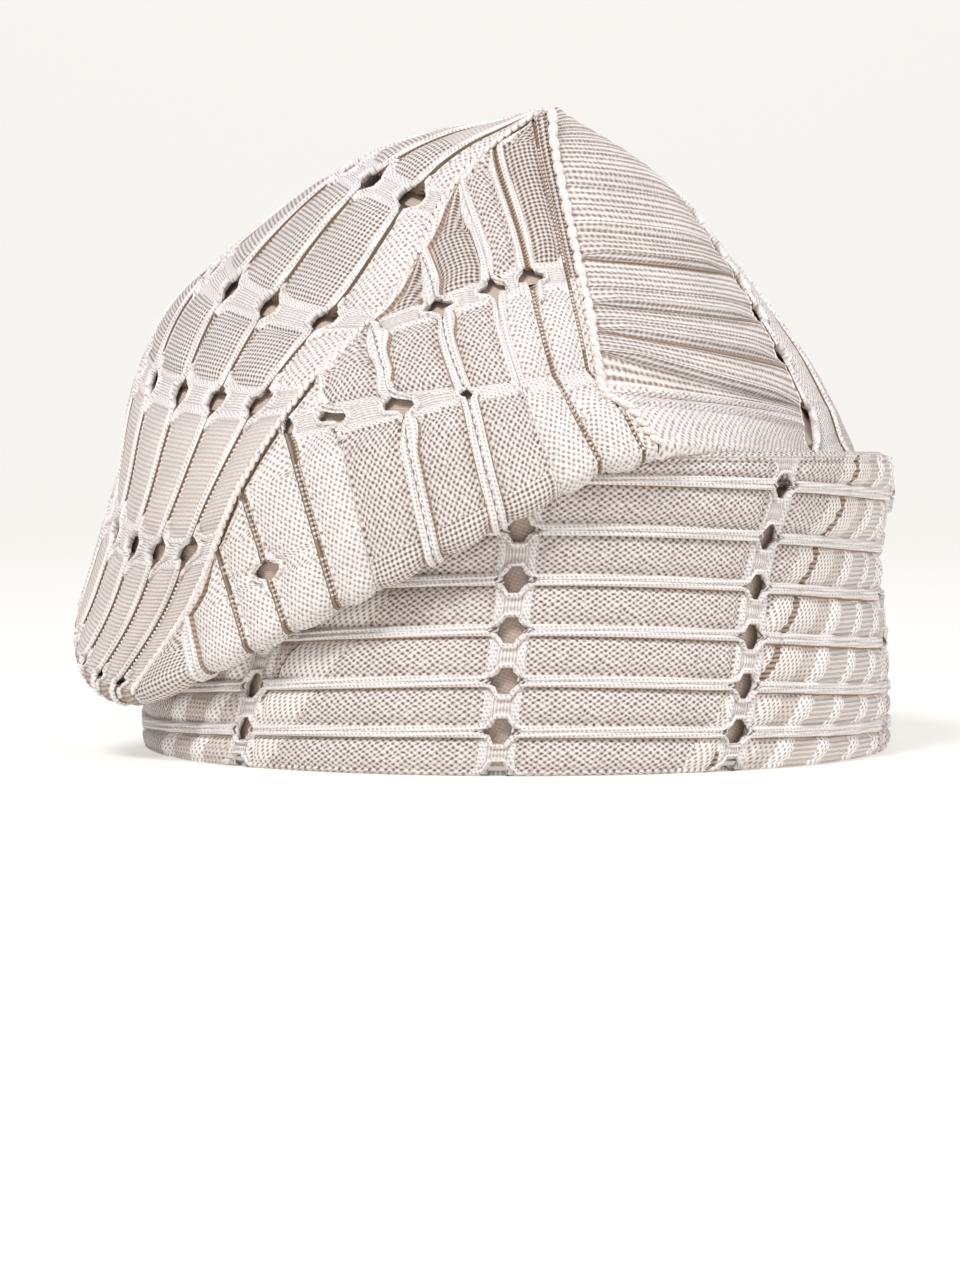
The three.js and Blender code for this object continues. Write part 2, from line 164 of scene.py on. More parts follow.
# the thread map pushed about a little, as hand-drawn yarn never lies dead straight
def wanderingThreads(tree, uvName, amount, turn):
    uv = addNode(tree, "UVMap", uv_map=uvName)
    noise = addNode(tree, "TexNoise", {"Vector": uv, "Scale": threadLook["drift"], "Detail": 2.0}, "Color",
        noise_dimensions="2D")
    spread = addNode(tree, "VectorMath", {0: noise, 1: (0.5, 0.5, 0.5)}, operation="SUBTRACT")
    drift = addNode(tree, "VectorMath", {0: spread, 1: (amount, amount, 0), 2: uv},
        operation="MULTIPLY_ADD")
    turned = addNode(tree, "Mapping", {"Vector": drift, "Rotation": (0, 0, turn)})
    return uv, addNode(tree, "SeparateXYZ", {0: turned}, None).outputs


# woven cotton: floats in staggered rows, or ridges across the strip with faint columns. Colour comes from
# thread height: pinholes painted dark as shade, the yarn's middle tone, and crowns painted bright as a
# highlight that varies from float to float
def wovenMaterial(name, spec):
    material, tree, shader = startMaterial(name, spec["roughness"], spec["sheen"])
    add = partial(addNode, tree)
    uv, axes = wanderingThreads(tree, "threads", spec["wobble"], spec["turn"])
    across, along = [threadWave(tree, axes[axis], pitch) for axis, pitch in zip("XY", spec["pitch"])]
    if spec["lay"] == "staggered":
        weave = add("Math", {0: across, 1: along}, operation="MULTIPLY")
    else:
        weave = add("Math", {0: across, 1: spec["columns"], 2: along}, operation="MULTIPLY_ADD")
    noise = {}
    for kind, (scale, detail) in clothNoise.items():
        noise[kind] = add("TexNoise", {"Vector": uv, "Scale": scale, "Detail": detail},
            noise_dimensions="2D")
    light, mid, gap = [linearColour(tone) for tone in spec["tones"]]
    gapFrom, gapTo = spec["gaps"]
    uneven = add("Math", {0: noise["speck"], 1: 0.5}, operation="SUBTRACT")
    weave = add("Math", {0: uneven, 1: spec["uneven"], 2: weave}, operation="MULTIPLY_ADD")
    height = add("MapRange", {"Value": weave, "From Min": gapFrom, "From Max": gapTo},
        interpolation_type="SMOOTHSTEP")
    crownFrom, crownTo = [gapTo + past for past in threadLook["crown"]]
    crown = add("MapRange", {"Value": weave, "From Min": crownFrom, "From Max": crownTo},
        interpolation_type="SMOOTHSTEP")
    # painted highlight on the crowns, then painted shade in the pinholes
    tone = add("Mix", {0: crown, 6: mid, 7: light}, 2, data_type="RGBA")
    shade = add("Mix", {0: height, 6: gap, 7: tone}, 2, data_type="RGBA")
    wear = []
    for kind, (low, high) in clothWear.items():
        least, most = threadLook["noiseSpan"]
        spans = {"From Min": least, "From Max": most, "To Min": low, "To Max": high}
        wear.append(add("MapRange", {"Value": noise[kind], **spans}))
    worn = add("Math", {0: wear[0], 1: wear[1]}, operation="MULTIPLY")
    colour = add("VectorMath", {0: shade, "Scale": worn}, operation="SCALE")
    relief = add("Math", {0: crown, 1: threadLook["crownRise"], 2: height}, operation="MULTIPLY_ADD")
    fuzzy = add("Math", {0: noise["fuzz"], 1: threadLook["fuzzRise"], 2: relief}, operation="MULTIPLY_ADD")
    finishMaterial(tree, shader, colour, fuzzy, spec["bump"], threadLook["rise"])
    return material


# what a weave has unless it says otherwise. pitch is the cloth's own thread spacing across and along a
# strip, gaps the part of the wave that lies low, and tones the crowns' painted highlight, the yarn and the
# gaps' painted shade
usual = dict(lay="ridged", turn=0.0, wobble=0.3, columns=0.0, uneven=0.6, roughness=0.92, sheen=0.1,
    bump=0.6)
grid = dict(pitch=(1.05, 1.1), gaps=(-1.7, -0.1), columns=1.0, uneven=0.9, bump=0.9)
slit = dict(wobble=0.2, gaps=(-1.2, 0.8), columns=0.2, uneven=0.4, roughness=0.95, sheen=0.0, bump=0.5)
weaves = {
    # plain basket weave in undyed yarn: pale seeds with small pinholes painted brown as shade
    "undyedCottonBasket": dict(lay="staggered", pitch=(1.25, 1.8), wobble=0.7, gaps=(-1.05, -0.32),
        tones=("efe6e1", "d0c3bb", "7c685e"), uneven=0.9, bump=1.0),
    # bleached twill: whiter, longer floats with slanting slots between
    "bleachedCottonTwill": dict(lay="staggered", pitch=(1.3, 1.8), turn=0.2, wobble=0.6, gaps=(-1.1, -0.4),
        tones=("f1eae5", "e6ddd7", "a59386"), uneven=0.9, roughness=0.9, sheen=0.12, bump=0.9),
    # open square weave: rows of light squares, the gaps at their corners painted dark as shade
    "cottonGridWeave": dict(grid, tones=("f0e8e3", "ddd2cb", "7d6a5e")),
    # the same grid, darker, for the front panel's top under the peak
    "unbleachedGridWeave": dict(grid, tones=("e2d7cf", "c8bab0", "6f5c50")),
    # fine cross ribs, soft and greyer
    "ribbedCotton": dict(pitch=(1.0, 1.05), gaps=(-1.5, 0.5), tones=("e4dbd6", "dad0ca", "c8bcb3"),
        columns=0.25),
    # tight white edging braid
    "braidedCotton": dict(lay="staggered", pitch=(1.0, 1.7), turn=0.5, wobble=0.2, gaps=(-1.2, -0.4),
        tones=("f3edea", "e9e1dc", "b3a397"), uneven=0.5, roughness=0.85, sheen=0.12),
    # threads drawn together between two holes: bright, fine lines across the strip
    "gatheredCottonThreads": dict(pitch=(1.6, 0.7), wobble=0.25, gaps=(-1.4, 0.3), columns=0.25,
        tones=("f5efec", "ebe3de", "c9bcb3"), roughness=0.88, sheen=0.12),
    # gathered side cloth: cross ribs with dotted rows between
    "knittedCottonRib": dict(pitch=(1.15, 1.65), wobble=0.35, gaps=(-1.35, -0.1), columns=0.4,
        tones=("f3ebe6", "e4d9d2", "9c897c"), uneven=1.1, bump=0.9),
    # painted shade: back threads seen at the bottom of a slit, coloured tan as they look in shade; the same
    # painted shade lines the groove beside a deep cord and the row under a deep pleat's tuck
    "shadedSlitThreads": dict(slit, pitch=(1.0, 1.2), tones=("c9b5a5", "b8a290", "8d7766")),
    # threads deep in the slits at the sides, painted dark as the shade in them
    "deepSlitThreads": dict(slit, pitch=(1.0, 1.1), tones=("a08a79", "8f7867", "655245")),
    # bottom of a ladder: columns of tan squares, painted dark as shade where they part
    "ladderThreads": dict(slit, pitch=(1.1, 1.05), wobble=0.15, gaps=(-1.2, 0.5), columns=1.0,
        tones=("d2c0b1", "b7a08d", "846c5c"), uneven=0.5, bump=0.9),
    # the stitched line along the middle of a cord: white, with a brown dash of painted shade at each stitch
    "stitchedCordLine": dict(pitch=(3.0, 2.2), wobble=0.2, gaps=(-0.6, 0.3),
        tones=("f0eae9", "e6dedb", "7c695c"), uneven=0.5, roughness=0.9),
    # turned-under hem cloth, painted grey-brown as the shade under the fold
    "unbleachedHemCotton": dict(pitch=(1.0, 1.2), turn=0.3, wobble=0.4, gaps=(-1.5, 0.4), columns=0.3,
        tones=("c8bbb5", "b7a9a2", "9a8a7e"), uneven=0.7, roughness=0.95, sheen=0.05),
    # smooth lining with a faint satin line, drawn coarser than sateen is so that it shows
    "sateenLining": dict(pitch=(0.5, 0.5), turn=0.4, wobble=0.1, gaps=(-1.8, 0.4), columns=0.6,
        tones=("d8c6ba", "cdb9ac", "bfab9d"), uneven=0.3, roughness=0.7, bump=0.2),
}
cloths = {name: wovenMaterial(name, {**usual, **spec}) for name, spec in weaves.items()}

# slanting stripes at the band's ends: each runs from its own place across them to the next one's
stripes = dict(slope=0.83, start=-112.0, stop=122.0, grooveFoot=19.0,
    shown=((33.0, 108.0), (-107.0, -60.0)), wobble=0.4, pitch=(1.5, 2.1), ribPitch=1.35, gaps=(-1.0, 0.1),
    bump=0.8, rows=[(-112.0, "basket"), (-107.0, "braid"), (-100.0, "beige"), (-90.0, "braid"),
    (-84.0, "beige"), (-74.5, "groove"), (-73.0, "twill"), (-60.0, "basket"), (33.0, "twill"),
    (40.3, "groove"), (41.8, "twill"), (49.8, "beige"), (56.0, "braid"), (61.8, "ribbed"),
    (70.0, "braid"), (76.0, "ribbed"), (85.0, "braid"), (91.0, "ribbed"), (100.0, "braid"),
    (106.0, "basket")])
# light tone, gap tone painted as shade, how ribbed the weave is, and height in millimetres of each stripe
stripeKinds = {"basket": ("e4d9d1", "83705f", 0.0, 0.0), "twill": ("f1eae5", "a18f82", 0.0, 0.25),
    "groove": ("b39c8b", "745f51", 1.0, -0.6), "beige": ("d8cdc6", "8e7c72", 0.3, 0.0),
    "braid": ("faf5f2", "b5a598", 0.0, 0.9), "ribbed": ("ded5cf", "c8bdb5", 1.0, 0.0)}


# striped cotton: white braids, beige cloth and brown grooves, with the weave's gaps painted as shade, laid
# out by the band's UV map "drift"
def stripeMaterial(name):
    material, tree, shader = startMaterial(name, usual["roughness"], usual["sheen"])
    add = partial(addNode, tree)
    axes = wanderingThreads(tree, "drift", stripes["wobble"], 0.0)[1]
    span = stripes["stop"] - stripes["start"]
    place = add("MapRange", {"Value": axes["X"], "From Min": stripes["start"], "From Max": stripes["stop"]})
    ramps = []
    for part in range(3):
        ramp = add("ValToRGB", {0: place}, None)
        elements = ramp.color_ramp.elements
        ramp.color_ramp.interpolation = "CONSTANT"
        while len(elements) > 1:
            elements.remove(elements[-1])
        for i, (q, kind) in enumerate(stripes["rows"]):
            at = (q - stripes["start"]) / span
            element = elements[0] if i == 0 else elements.new(at)
            element.position = at
            tone = stripeKinds[kind][part]
            element.color = linearColour(tone) if part < 2 else (tone, tone, tone, 1)
        ramps.append(ramp.outputs[0])
    across, along = [threadWave(tree, axes[axis], pitch) for axis, pitch in zip("XY", stripes["pitch"])]
    floats = add("Math", {0: across, 1: along}, operation="MULTIPLY")
    ridges = threadWave(tree, axes["Y"], stripes["ribPitch"])
    weave = add("Mix", {0: ramps[2], 2: floats, 3: ridges}, data_type="FLOAT")
    height = add("MapRange", {"Value": weave, "From Min": stripes["gaps"][0],
        "From Max": stripes["gaps"][1]}, interpolation_type="SMOOTHSTEP")
    # low parts of the weave take the gap tone: painted shade
    shade = add("Mix", {0: height, 6: ramps[1], 7: ramps[0]}, 2, data_type="RGBA")
    finishMaterial(tree, shader, shade, height, stripes["bump"], threadLook["rise"])
    return material


cloths["stripedCottonEnds"] = stripeMaterial("stripedCottonEnds")
clothOrder = list(cloths)
clothIndex = {name: i for i, name in enumerate(clothOrder)}
print("materials made:", len(cloths))

# a cloth of strips sewn side by side: cords edge the strips, slits part them, and at each row of holes a
# strip draws in to a neck between two rounded, corded cell ends. hole is half its length along the strip,
# half its flat, half its width
strip = dict(hole=(2.9, 1.2, 2.95), base=0.8, wall=1.0, inner=6, wideStrip=22.0, partner=9.0, cordHigh=1.05,
    cordRange=(0.2, 1.2), leastCord=0.3, mostCord=0.22, mostEdge=0.45, braidFrom=0.55, rimCord=1.0,
    rimReach=6.0, roll=0.45, rollOver=(0.1, 1.6), grooveFade=(3.5, 7.0), shadeFrom=(0.2, 4.5),
    neckHalf=3.1, shut=0.4, shutHalf=0.9, corner=2.6, bendFrom=(0.6, 0.2), bendFade=(1.0, 11.0),
    endSpan=0.9, shiftFade=(6.0, 12.0), pillow=1.0, pillowFull=6.0, pillowFade=(0.6, 4.0), tubeHigh=0.45,
    tubeFade=(-2.0, -0.4), endCord=0.8, endHigh=0.75, endGroove=0.25, endGrooves=((1.3, 0.5), (-1.2, 0.4)),
    openFrom=0.3, floorThread=0.55, step=(1e-3, 0.01), outStep=2e-3, rowOutStep=0.02, ringOutStep=0.5)
farPast = 99.0  # distance past a cell's end where there is none
# from a strip's edge inwards: shares of its cord's width and height
edgeProfile = [(0.0, 0.4, "cord"), (0.28, 0.95, "cord"), (0.72, 0.92, "cord"), (1.0, 0.45, "cord"),
    (1.2, -0.1, "slit"), (1.6, 0.05, "slit")]
grooveAt = 4  # the place in that profile which sinks beside a cord
# slit is the gap between strips, cords the widths of the white edges (before, after the rib), deep the
# groove beside each cord, floor the height of the gap's bottom and line its threads; above row cordFrom the
# cords are cordAbove wide
bareRib = dict(cords=(0.45, 0.45), deep=(0.0, 0.0), line="braidedCotton", meets=False, rim=(1, 1),
    cordFrom=1e6, cordAbove=0)
softRib = dict(slit=0.1, cords=(0.5, 0.5), floor=0.1)
ladderRib = dict(slit=1.8, floor=-0.25, line="ladderThreads")
# a notched slit's bottom is painted dark as shade
notchedRib = dict(slit=0.85, cords=(0.25, 1.7), deep=(0.0, 0.2), floor=-0.6, line="deepSlitThreads")
ribKinds = {
    "edge": dict(slit=0.0, cords=(0.3, 0.3), floor=0.2),
    "braid": dict(slit=0.1, cords=(1.15, 1.15), deep=(0.1, 0.45), floor=0.78, line="stitchedCordLine",
        meets=True),
    "double": dict(slit=0.4, cords=(1.5, 1.5), deep=(0.4, 0.4), floor=0.55, line="stitchedCordLine"),
    "soft": softRib,
    "rising": dict(softRib, cordFrom=2.3, cordAbove=1.3),
    "narrow": dict(ladderRib, slit=1.25, floor=-0.3, cordFrom=3.4, cordAbove=1.3),
    "seamLadder": dict(ladderRib, slit=0.9, cords=(0.3, 0.3), floor=-0.3),
    "ladder": ladderRib,
    "notched": notchedRib,
    "slotted": dict(notchedRib, rim=(0.0, 1.0)),
}
ribKinds = {kind: {**bareRib, **rib} for kind, rib in ribKinds.items()}


# rows of a mesh, fine within reach of the stops and coarse elsewhere
def marchRows(low, high, stops, fine, coarse, reach):
    rows, r = [], low
    while r < high - fine * 0.4:
        rows.append(r)
        r += fine if min(abs(r - s) for s in stops) < reach else coarse
    return np.array(rows + [high])


def gridQuads(low, high, left, right, width):
    low, high = low[:, None] * width, high[:, None] * width
    return np.stack([low + left, low + right, high + right, high + left], -1)


def basketFill(j, row):
    return "undyedCottonBasket"


def isShut(size):
    return 0 < size <= strip["shut"]


# holes are (row, size) by rib: a small size is drawn shut to a short neck, a negative one is a round hole
def stripCloth(name, surface, rows, edges, kinds, holes, fills, outward=1.0, ring=0.0, relief=None,
        inner=None, base=strip["base"], restripe=None, hole=strip["hole"]):
    ribs = [ribKinds[kind] for kind in kinds]
    holeLong, holeFlat, holeHalf = hole
    count, rowCount = len(edges) - 1, len(rows)
    scales = [stretch(surface, a, rows, da=strip["step"][0]) for a in edges]
    alongs = [stretch(surface, a, rows, dv=strip["step"][1]) for a in edges]

    def cordOf(rib, end):
        return np.where(rows > rib["cordFrom"], rib["cordAbove"], rib["cords"][1 - end])

    def rowsPast(place, row):
        y = place - row
        return (y + ring / 2) % ring - ring / 2 if ring else y

    # each mesh line is across, row, height, thread, distance past a cell's end, role, strip, side
    lines = []
    openings, nearest = {}, {}
    for j in range(count):
        # each hole on one edge goes with the nearest on the other, with a neck between
        pairs = {}
        for mine, others, turned in ((j, j + 1, 1), (j + 1, j, -1)):
            pitch = np.median(alongs[mine])
            for row, size in holes.get(mine, []):
                near = [(abs(o - row), o, s) for o, s in holes.get(others, [])]
                near = [found for found in near if found[0] * pitch < strip["partner"]]
                ends = [(row, size), min(near)[1:] if near else (row, size)][::turned]
                if size >= 1 or isShut(size):
                    necks = [strip["shutHalf"] if isShut(s) else strip["neckHalf"] for place, s in ends]
                    pairs[ends[0][0], ends[1][0]] = necks

        # the mesh rows bend round each cell's corners, so its end cord keeps to one row
        def bentRows(f):
            f = np.mean(f)
            place, past = rows.copy(), np.full(rowCount, farPast)
            for (low, high), necks in pairs.items():
                away = rowsPast(rows, (low + high) / 2) * alongs[j]
                d = np.abs(away)
                neck = mixed(necks[0], necks[1], f)
                bend = smooth(d, strip["bendFrom"][0] * neck, neck + strip["bendFrom"][1])
                bend = bend * (1 - smooth(d, neck + strip["bendFade"][0], strip["bendFade"][1]))
                place = place + (high - low) * (f - 0.5) * (1 - smooth(d, *strip["shiftFade"]))
                corner = strip["corner"] * min(neck / strip["neckHalf"], 1)
                place = place + np.sign(away) * corner * abs(2 * f - 1) ** 4 * bend / alongs[j]
                past = np.minimum(past, d - neck)
            return place, past

        # both edges of the strip, moved in by half a slit or a hole
        way = np.sign(np.sum(edges[j + 1] - edges[j]))
        bounds = []
        for end in (0, 1):
            place = bentRows(float(end))[0]
            gap, near = np.full(rowCount, ribs[j + end]["slit"] / 2), np.full(rowCount, 1e3)
            for row, size in holes.get(j + end, []):
                y = np.abs(rowsPast(place, row)) * alongs[j + end] / abs(size)
                wide = np.clip((holeLong - y) / (holeLong - holeFlat), 0, 1)
                if size < 0:
                    wide = np.sqrt(np.clip(1 - (y / holeLong) ** 2, 0, 1))
                gap = np.maximum(gap, holeHalf * wide * abs(size))
                near = np.minimum(near, y)
            openings[j, end], nearest[j, end] = gap, near
            line = np.interp(place, rows, edges[j + end], period=ring or None)
            bounds.append(line + (way if end == 0 else -way) * gap / np.maximum(scales[j + end], 1e-3))
        crossed = (bounds[1] - bounds[0]) * way < 0
        a0, a1 = [np.where(crossed, (edges[j] + edges[j + 1]) / 2, bound) for bound in bounds]
        wide = np.abs(a1 - a0) * (scales[j] + scales[j + 1]) / 2

        # the cord, and the groove beside it, at each edge
        parts = []
        for end in (0, 1):
            rib, close = ribs[j + end], nearest[j, end]
            rim = np.where(close < strip["rimReach"], strip["rimCord"] * rib["rim"][1 - end], 0)
            cord = np.minimum(np.maximum(cordOf(rib, end), rim), wide * strip["mostCord"])
            opened = smooth(openings[j, end] - rib["slit"] / 2, *strip["rollOver"])
            part = []
            for n, (reach, rise, role) in enumerate(edgeProfile):
                share = np.maximum(reach * np.maximum(cord, strip["leastCord"]), 1e-4)
                share = share / np.maximum(wide, 1e-3)
                high = rise * strip["cordHigh"] * np.clip(cord, *strip["cordRange"])
                if n == 0:  # cords that touch meet at the floor's height, and a cord rolls over into a hole
                    high = np.full(rowCount, rib["floor"]) if rib["meets"] else high
                    high = mixed(high, -strip["roll"], opened)
                if n == grooveAt:
                    high = high - rib["deep"][1 - end] * smooth(close, *strip["grooveFade"])
                part.append((np.minimum(share, strip["mostEdge"]), high, role))
            parts.append(part)
        inside = (inner or {}).get(j, strip["inner"])
        first, last = parts[0][-1][0], parts[1][-1][0]
        columns = [(f, h, role, 0) for f, h, role in parts[0]]
        for n in range(1, inside + 1):
            columns.append((first + (1 - first - last) * n / (inside + 1), None, "fill", n / (inside + 1)))
        columns += [(1 - f, h, role, 1) for f, h, role in parts[1][::-1]]
        for f, h, role, end in columns:
            place, past = bentRows(f)
            if np.percentile(wide, 95) > strip["wideStrip"]:
                past = np.full(rowCount, farPast)
            if role == "fill":  # pillow in a cell, lower tube in a neck, cord and grooves at its end
                swell = np.sin(math.pi * end) ** 0.5 * np.minimum(wide / strip["pillowFull"], 1)
                tube = strip["tubeHigh"] * swell * (1 - smooth(past, *strip["tubeFade"]))
                h = strip["pillow"] * swell * smooth(past, *strip["pillowFade"]) + tube
                h = h + strip["endHigh"] * hump(past, 0, strip["endCord"])
                h = h - strip["endGroove"] * sum(hump(past, *groove) for groove in strip["endGrooves"])
                end = 2
            lines.append([a0 + (a1 - a0) * f, place, h, (f - 0.5) * wide, past, role, j, end])
        if j < count - 1:  # bottom of the gap between this strip and the next, placed when the next is known
            floor = np.full(rowCount, ribs[j + 1]["floor"])
            lines.append([None, None, floor, np.zeros(rowCount), np.full(rowCount, farPast), "floor", j, 1])
    for before, line, after in zip(lines, lines[1:], lines[2:]):
        if line[5] == "floor":
            line[:2] = [(before[i] + after[i]) / 2 for i in (0, 1)]
    across, along, high, thread, past = [np.array([line[i] for line in lines]).T for i in range(5)]
    roles, owner, side = [[line[i] for line in lines] for i in (5, 6, 7)]
    total = len(lines)

    points = surface(across, along)
    rowStep = strip["ringOutStep"] if ring else strip["rowOutStep"]
    out = outwardOf(surface, across, along, strip["outStep"], rowStep) * outward
    if relief is not None:
        high = relief(across, along, np.array(owner)[None, :].repeat(rowCount, 0), high)
    points = points + out * (base + high)[..., None]
    length = np.zeros_like(across)
    for j in range(count):
        mine = [c for c in range(total) if owner[c] == j]
        run = runLength(points[:, mine[len(mine) // 2]])
        for c in mine:
            length[:, c] = np.interp(along[:, c], rows, run)

    # faces, their threads and the cloth of each
    r0 = np.arange(rowCount if ring else rowCount - 1)
    r1 = (r0 + 1) % rowCount
    c0 = np.arange(total - 1)
    quads = gridQuads(r0, r1, c0, c0 + 1, total)
    threads = np.stack([thread, length], -1).reshape(-1, 2)[quads]
    keep = np.ones(quads.shape[:2], bool)
    cloth = np.zeros(quads.shape[:2], int)
    braid = clothIndex["braidedCotton"]
    for j in range(count):
        fill = np.array([clothIndex[fills(j, rows[r])] for r in r0])
        for c in [x for x in range(total - 1) if owner[x] == j]:
            pair = (roles[c], roles[c + 1])
            if "floor" in pair:
                half = ribs[j + 1]["slit"] / 2
                gap = np.maximum(openings[j, 1], openings[j + 1, 0])
                keep[:, c] = np.minimum(gap[r0], gap[r1]) < half + strip["openFrom"]
                cloth[:, c] = clothIndex[ribs[j + 1]["line"]]
                spots = [-half, 0, 0, -half] if pair[1] == "floor" else [0, half, half, 0]
                threads[:, c, :, 0] = strip["floorThread"] + np.array(spots)
                continue
            beyond = (past[r0, c] + past[r0, c + 1] + past[r1, c] + past[r1, c + 1]) / 4 / strip["endCord"]
            own = np.where(beyond < strip["endSpan"], braid, fill)
            own = np.where(beyond < -strip["endSpan"], clothIndex["gatheredCottonThreads"], own)
            end = min(side[c], side[c + 1], 1)
            rib, close = ribs[j + end], nearest[j, end][r0]
            if pair == ("cord", "cord"):
                corded = (cordOf(rib, end)[r0] > strip["braidFrom"]) | (close < strip["rimReach"])
                own = np.where(corded, braid, own)
            elif set(pair) == {"cord", "slit"}:
                # painted shade: the groove beside a deep cord, away from holes, takes the tan shaded threads
                dark = (rib["deep"][1 - end] > strip["shadeFrom"][0]) & (close > strip["shadeFrom"][1])
                own = np.where(dark, clothIndex["shadedSlitThreads"], own)
            cloth[:, c] = own
    if restripe is not None:
        middle = [(x[r0][:, :-1] + x[r0][:, 1:]) / 2 for x in (across, along)]
        cloth = np.where(cloth == clothIndex["undyedCottonBasket"], restripe(*middle, cloth), cloth)
    faces, maps = quads[keep], {"threads": threads[keep]}
    if ring:
        maps["drift"] = driftMap(across, along).reshape(-1, 2)[faces]
    points = points.reshape(-1, 3)
    probe = faces[len(faces) // 2]
    facing = np.cross(points[probe[1]] - points[probe[0]], points[probe[3]] - points[probe[0]])
    if np.dot(facing, out.reshape(-1, 3)[probe[0]]) < 0:
        faces, maps = faces[:, ::-1], {key: uv[:, ::-1] for key, uv in maps.items()}
    return finishCloth(name, points, faces, cloth[keep], maps, strip["wall"])


weldReach, thinReach = 2e-5, 2e-6  # metres: points this close are joined, faces this thin dissolved


# a mesh from millimetre points with its thread maps, cleaned, given a wall and made plain
def finishCloth(name, points, faces, slots, maps, wall):
    mesh = bpy.data.meshes.new(name)
    mesh.from_pydata(toMetres(points).tolist(), [], faces.tolist())
    used = sorted(set(int(s) for s in slots))
    for i in used:
        mesh.materials.append(cloths[clothOrder[i]])
    mesh.polygons.foreach_set("material_index", np.searchsorted(used, slots).astype(np.int32))
    for key, uv in maps.items():
        mesh.uv_layers.new(name=key).data.foreach_set("uv", uv.astype(np.float32).ravel())
    work = bmesh.new()
    work.from_mesh(mesh)
    bmesh.ops.remove_doubles(work, verts=work.verts, dist=weldReach)
    bmesh.ops.dissolve_degenerate(work, edges=work.edges, dist=thinReach)
    bmesh.ops.delete(work, geom=[vert for vert in work.verts if not vert.link_faces], context="VERTS")
    for face in work.faces:
        face.smooth = True
    work.to_mesh(mesh)
    work.free()
    obj = addObject(name, mesh)
    thick = obj.modifiers.new("wall", "SOLIDIFY")
    thick.thickness = wall * metres
    thick.offset = -1
    return plain(obj)


# turns what the modifiers make into the object's own mesh
def plain(obj):
    graph = bpy.context.evaluated_depsgraph_get()
    mesh = bpy.data.meshes.new_from_object(obj.evaluated_get(graph))
    obj.modifiers.clear()
    obj.data = mesh
    mesh.name = obj.name
    return obj


# band: an upright ring that draws in at a waist and turns in at its rim and top. rowSteps are the mesh's
# steps round it by what is there, on the side that the picture sees and behind
band = dict(halfWidth=84.2, halfDepth=102.0, height=66.5, waist=2.8, waistTop=61.0, waistSkew=1.8,
    ribPitch=10.45, firstRib=9.3, ribs=6, sag=-6.0, sagShare=[0.5, 0.9, 1.0, 1.0, 0.95, 0.75], middle=30.0,
    rimFold=1.2, rimLift=0.05, rimFade=(0, 3), flatRim=(-0.5, 1.6), flatTop=(0.7, 3), braidRound=0.6,
    topFold=1.4, turnIn=5.0, topEdge=0.8, footEdges=(0.4, -2.4), columns=[-59.5, -2.0, 55.0],
    backReach=70.0, backColumns=7, hole=(3.6, 1.4, 2.65), seen=(-125, 130),
    striped=((25, 125), (-110, -35)), holeReach=7, rowSteps=dict(hole=(0.75, 1.4), stripe=(1.5, 1.5),
    cell=(2.4, 5.0)))
# hole columns drift with height: distance round the band at its middle height, and drift per millimetre
leanTable = dict(t=[-293.15, -115.0, -60.0, -2.0, 55.0, 115.0, 293.15],
    lean=[0.16, 0.25, 0.33, 0.1, 0.27, 0.3, 0.16])

# length round the band's outline for each turn from the front
turnSteps = np.linspace(-1.5 * math.pi, 1.5 * math.pi, 60001)
stepLength = np.hypot(band["halfWidth"] * np.cos(turnSteps), band["halfDepth"] * np.sin(turnSteps))
arcSteps = np.concatenate([[0], np.cumsum((stepLength[1:] + stepLength[:-1]) / 2 * np.diff(turnSteps))])
arcSteps -= np.interp(0, turnSteps, arcSteps)
bandRound = np.interp(math.pi, turnSteps, arcSteps) * 2


def arcAt(t, z):
    lean = np.interp(t, leanTable["t"], leanTable["lean"])
    return t + lean * (np.clip(z, 0, band["height"]) - band["middle"])


def stripeAt(t, z):
    return arcAt(t, z) - stripes["slope"] * z


def driftMap(z, t):
    q = arcAt(t, z) - stripes["slope"] * np.clip(z, 0, band["height"])
    return np.stack([q, z * math.hypot(1, stripes["slope"])], -1)


def waistAt(z):
    return band["waist"] * np.sin(math.pi * np.clip(z / band["waistTop"], 0, 1) ** band["waistSkew"]) ** 2


def ringPoint(turn, offset, z):
    sides = (band["halfWidth"] + offset) * np.sin(turn), -(band["halfDepth"] + offset) * np.cos(turn)
    return np.stack(np.broadcast_arrays(*sides, z), -1)


def bandSurface(z, t):
    z, t = np.broadcast_arrays(np.asarray(z, float), np.asarray(t, float))
    turn = np.interp(arcAt(t, z), arcSteps, turnSteps)
    r, top = band["rimFold"], band["height"] - band["topFold"]
    under = np.clip((r - z) / r, 0, math.pi / 2)
    over = np.clip((z - top) / band["topFold"], 0, math.pi)
    high = np.where(z < r, r - r * np.sin(under), np.minimum(z, top) + band["topFold"] * np.sin(over))
    high = high - np.clip(z - top - math.pi * band["topFold"], 0, None)
    high = np.maximum(high, 0) + band["rimLift"] * (1 - smooth(z, *band["rimFade"]))
    inward = r * (1 - np.cos(under)) + np.clip(r - r * math.pi / 2 - z, 0, None)
    inward = inward + band["topFold"] * (1 - np.cos(over))
    return ringPoint(turn, -waistAt(z) - inward, high)


def ribHeight(k, t):
    turn = np.interp(arcAt(t, band["middle"]), arcSteps, turnSteps)
    return band["firstRib"] + k * band["ribPitch"] + band["sag"] * band["sagShare"][k] * np.sin(turn) ** 2


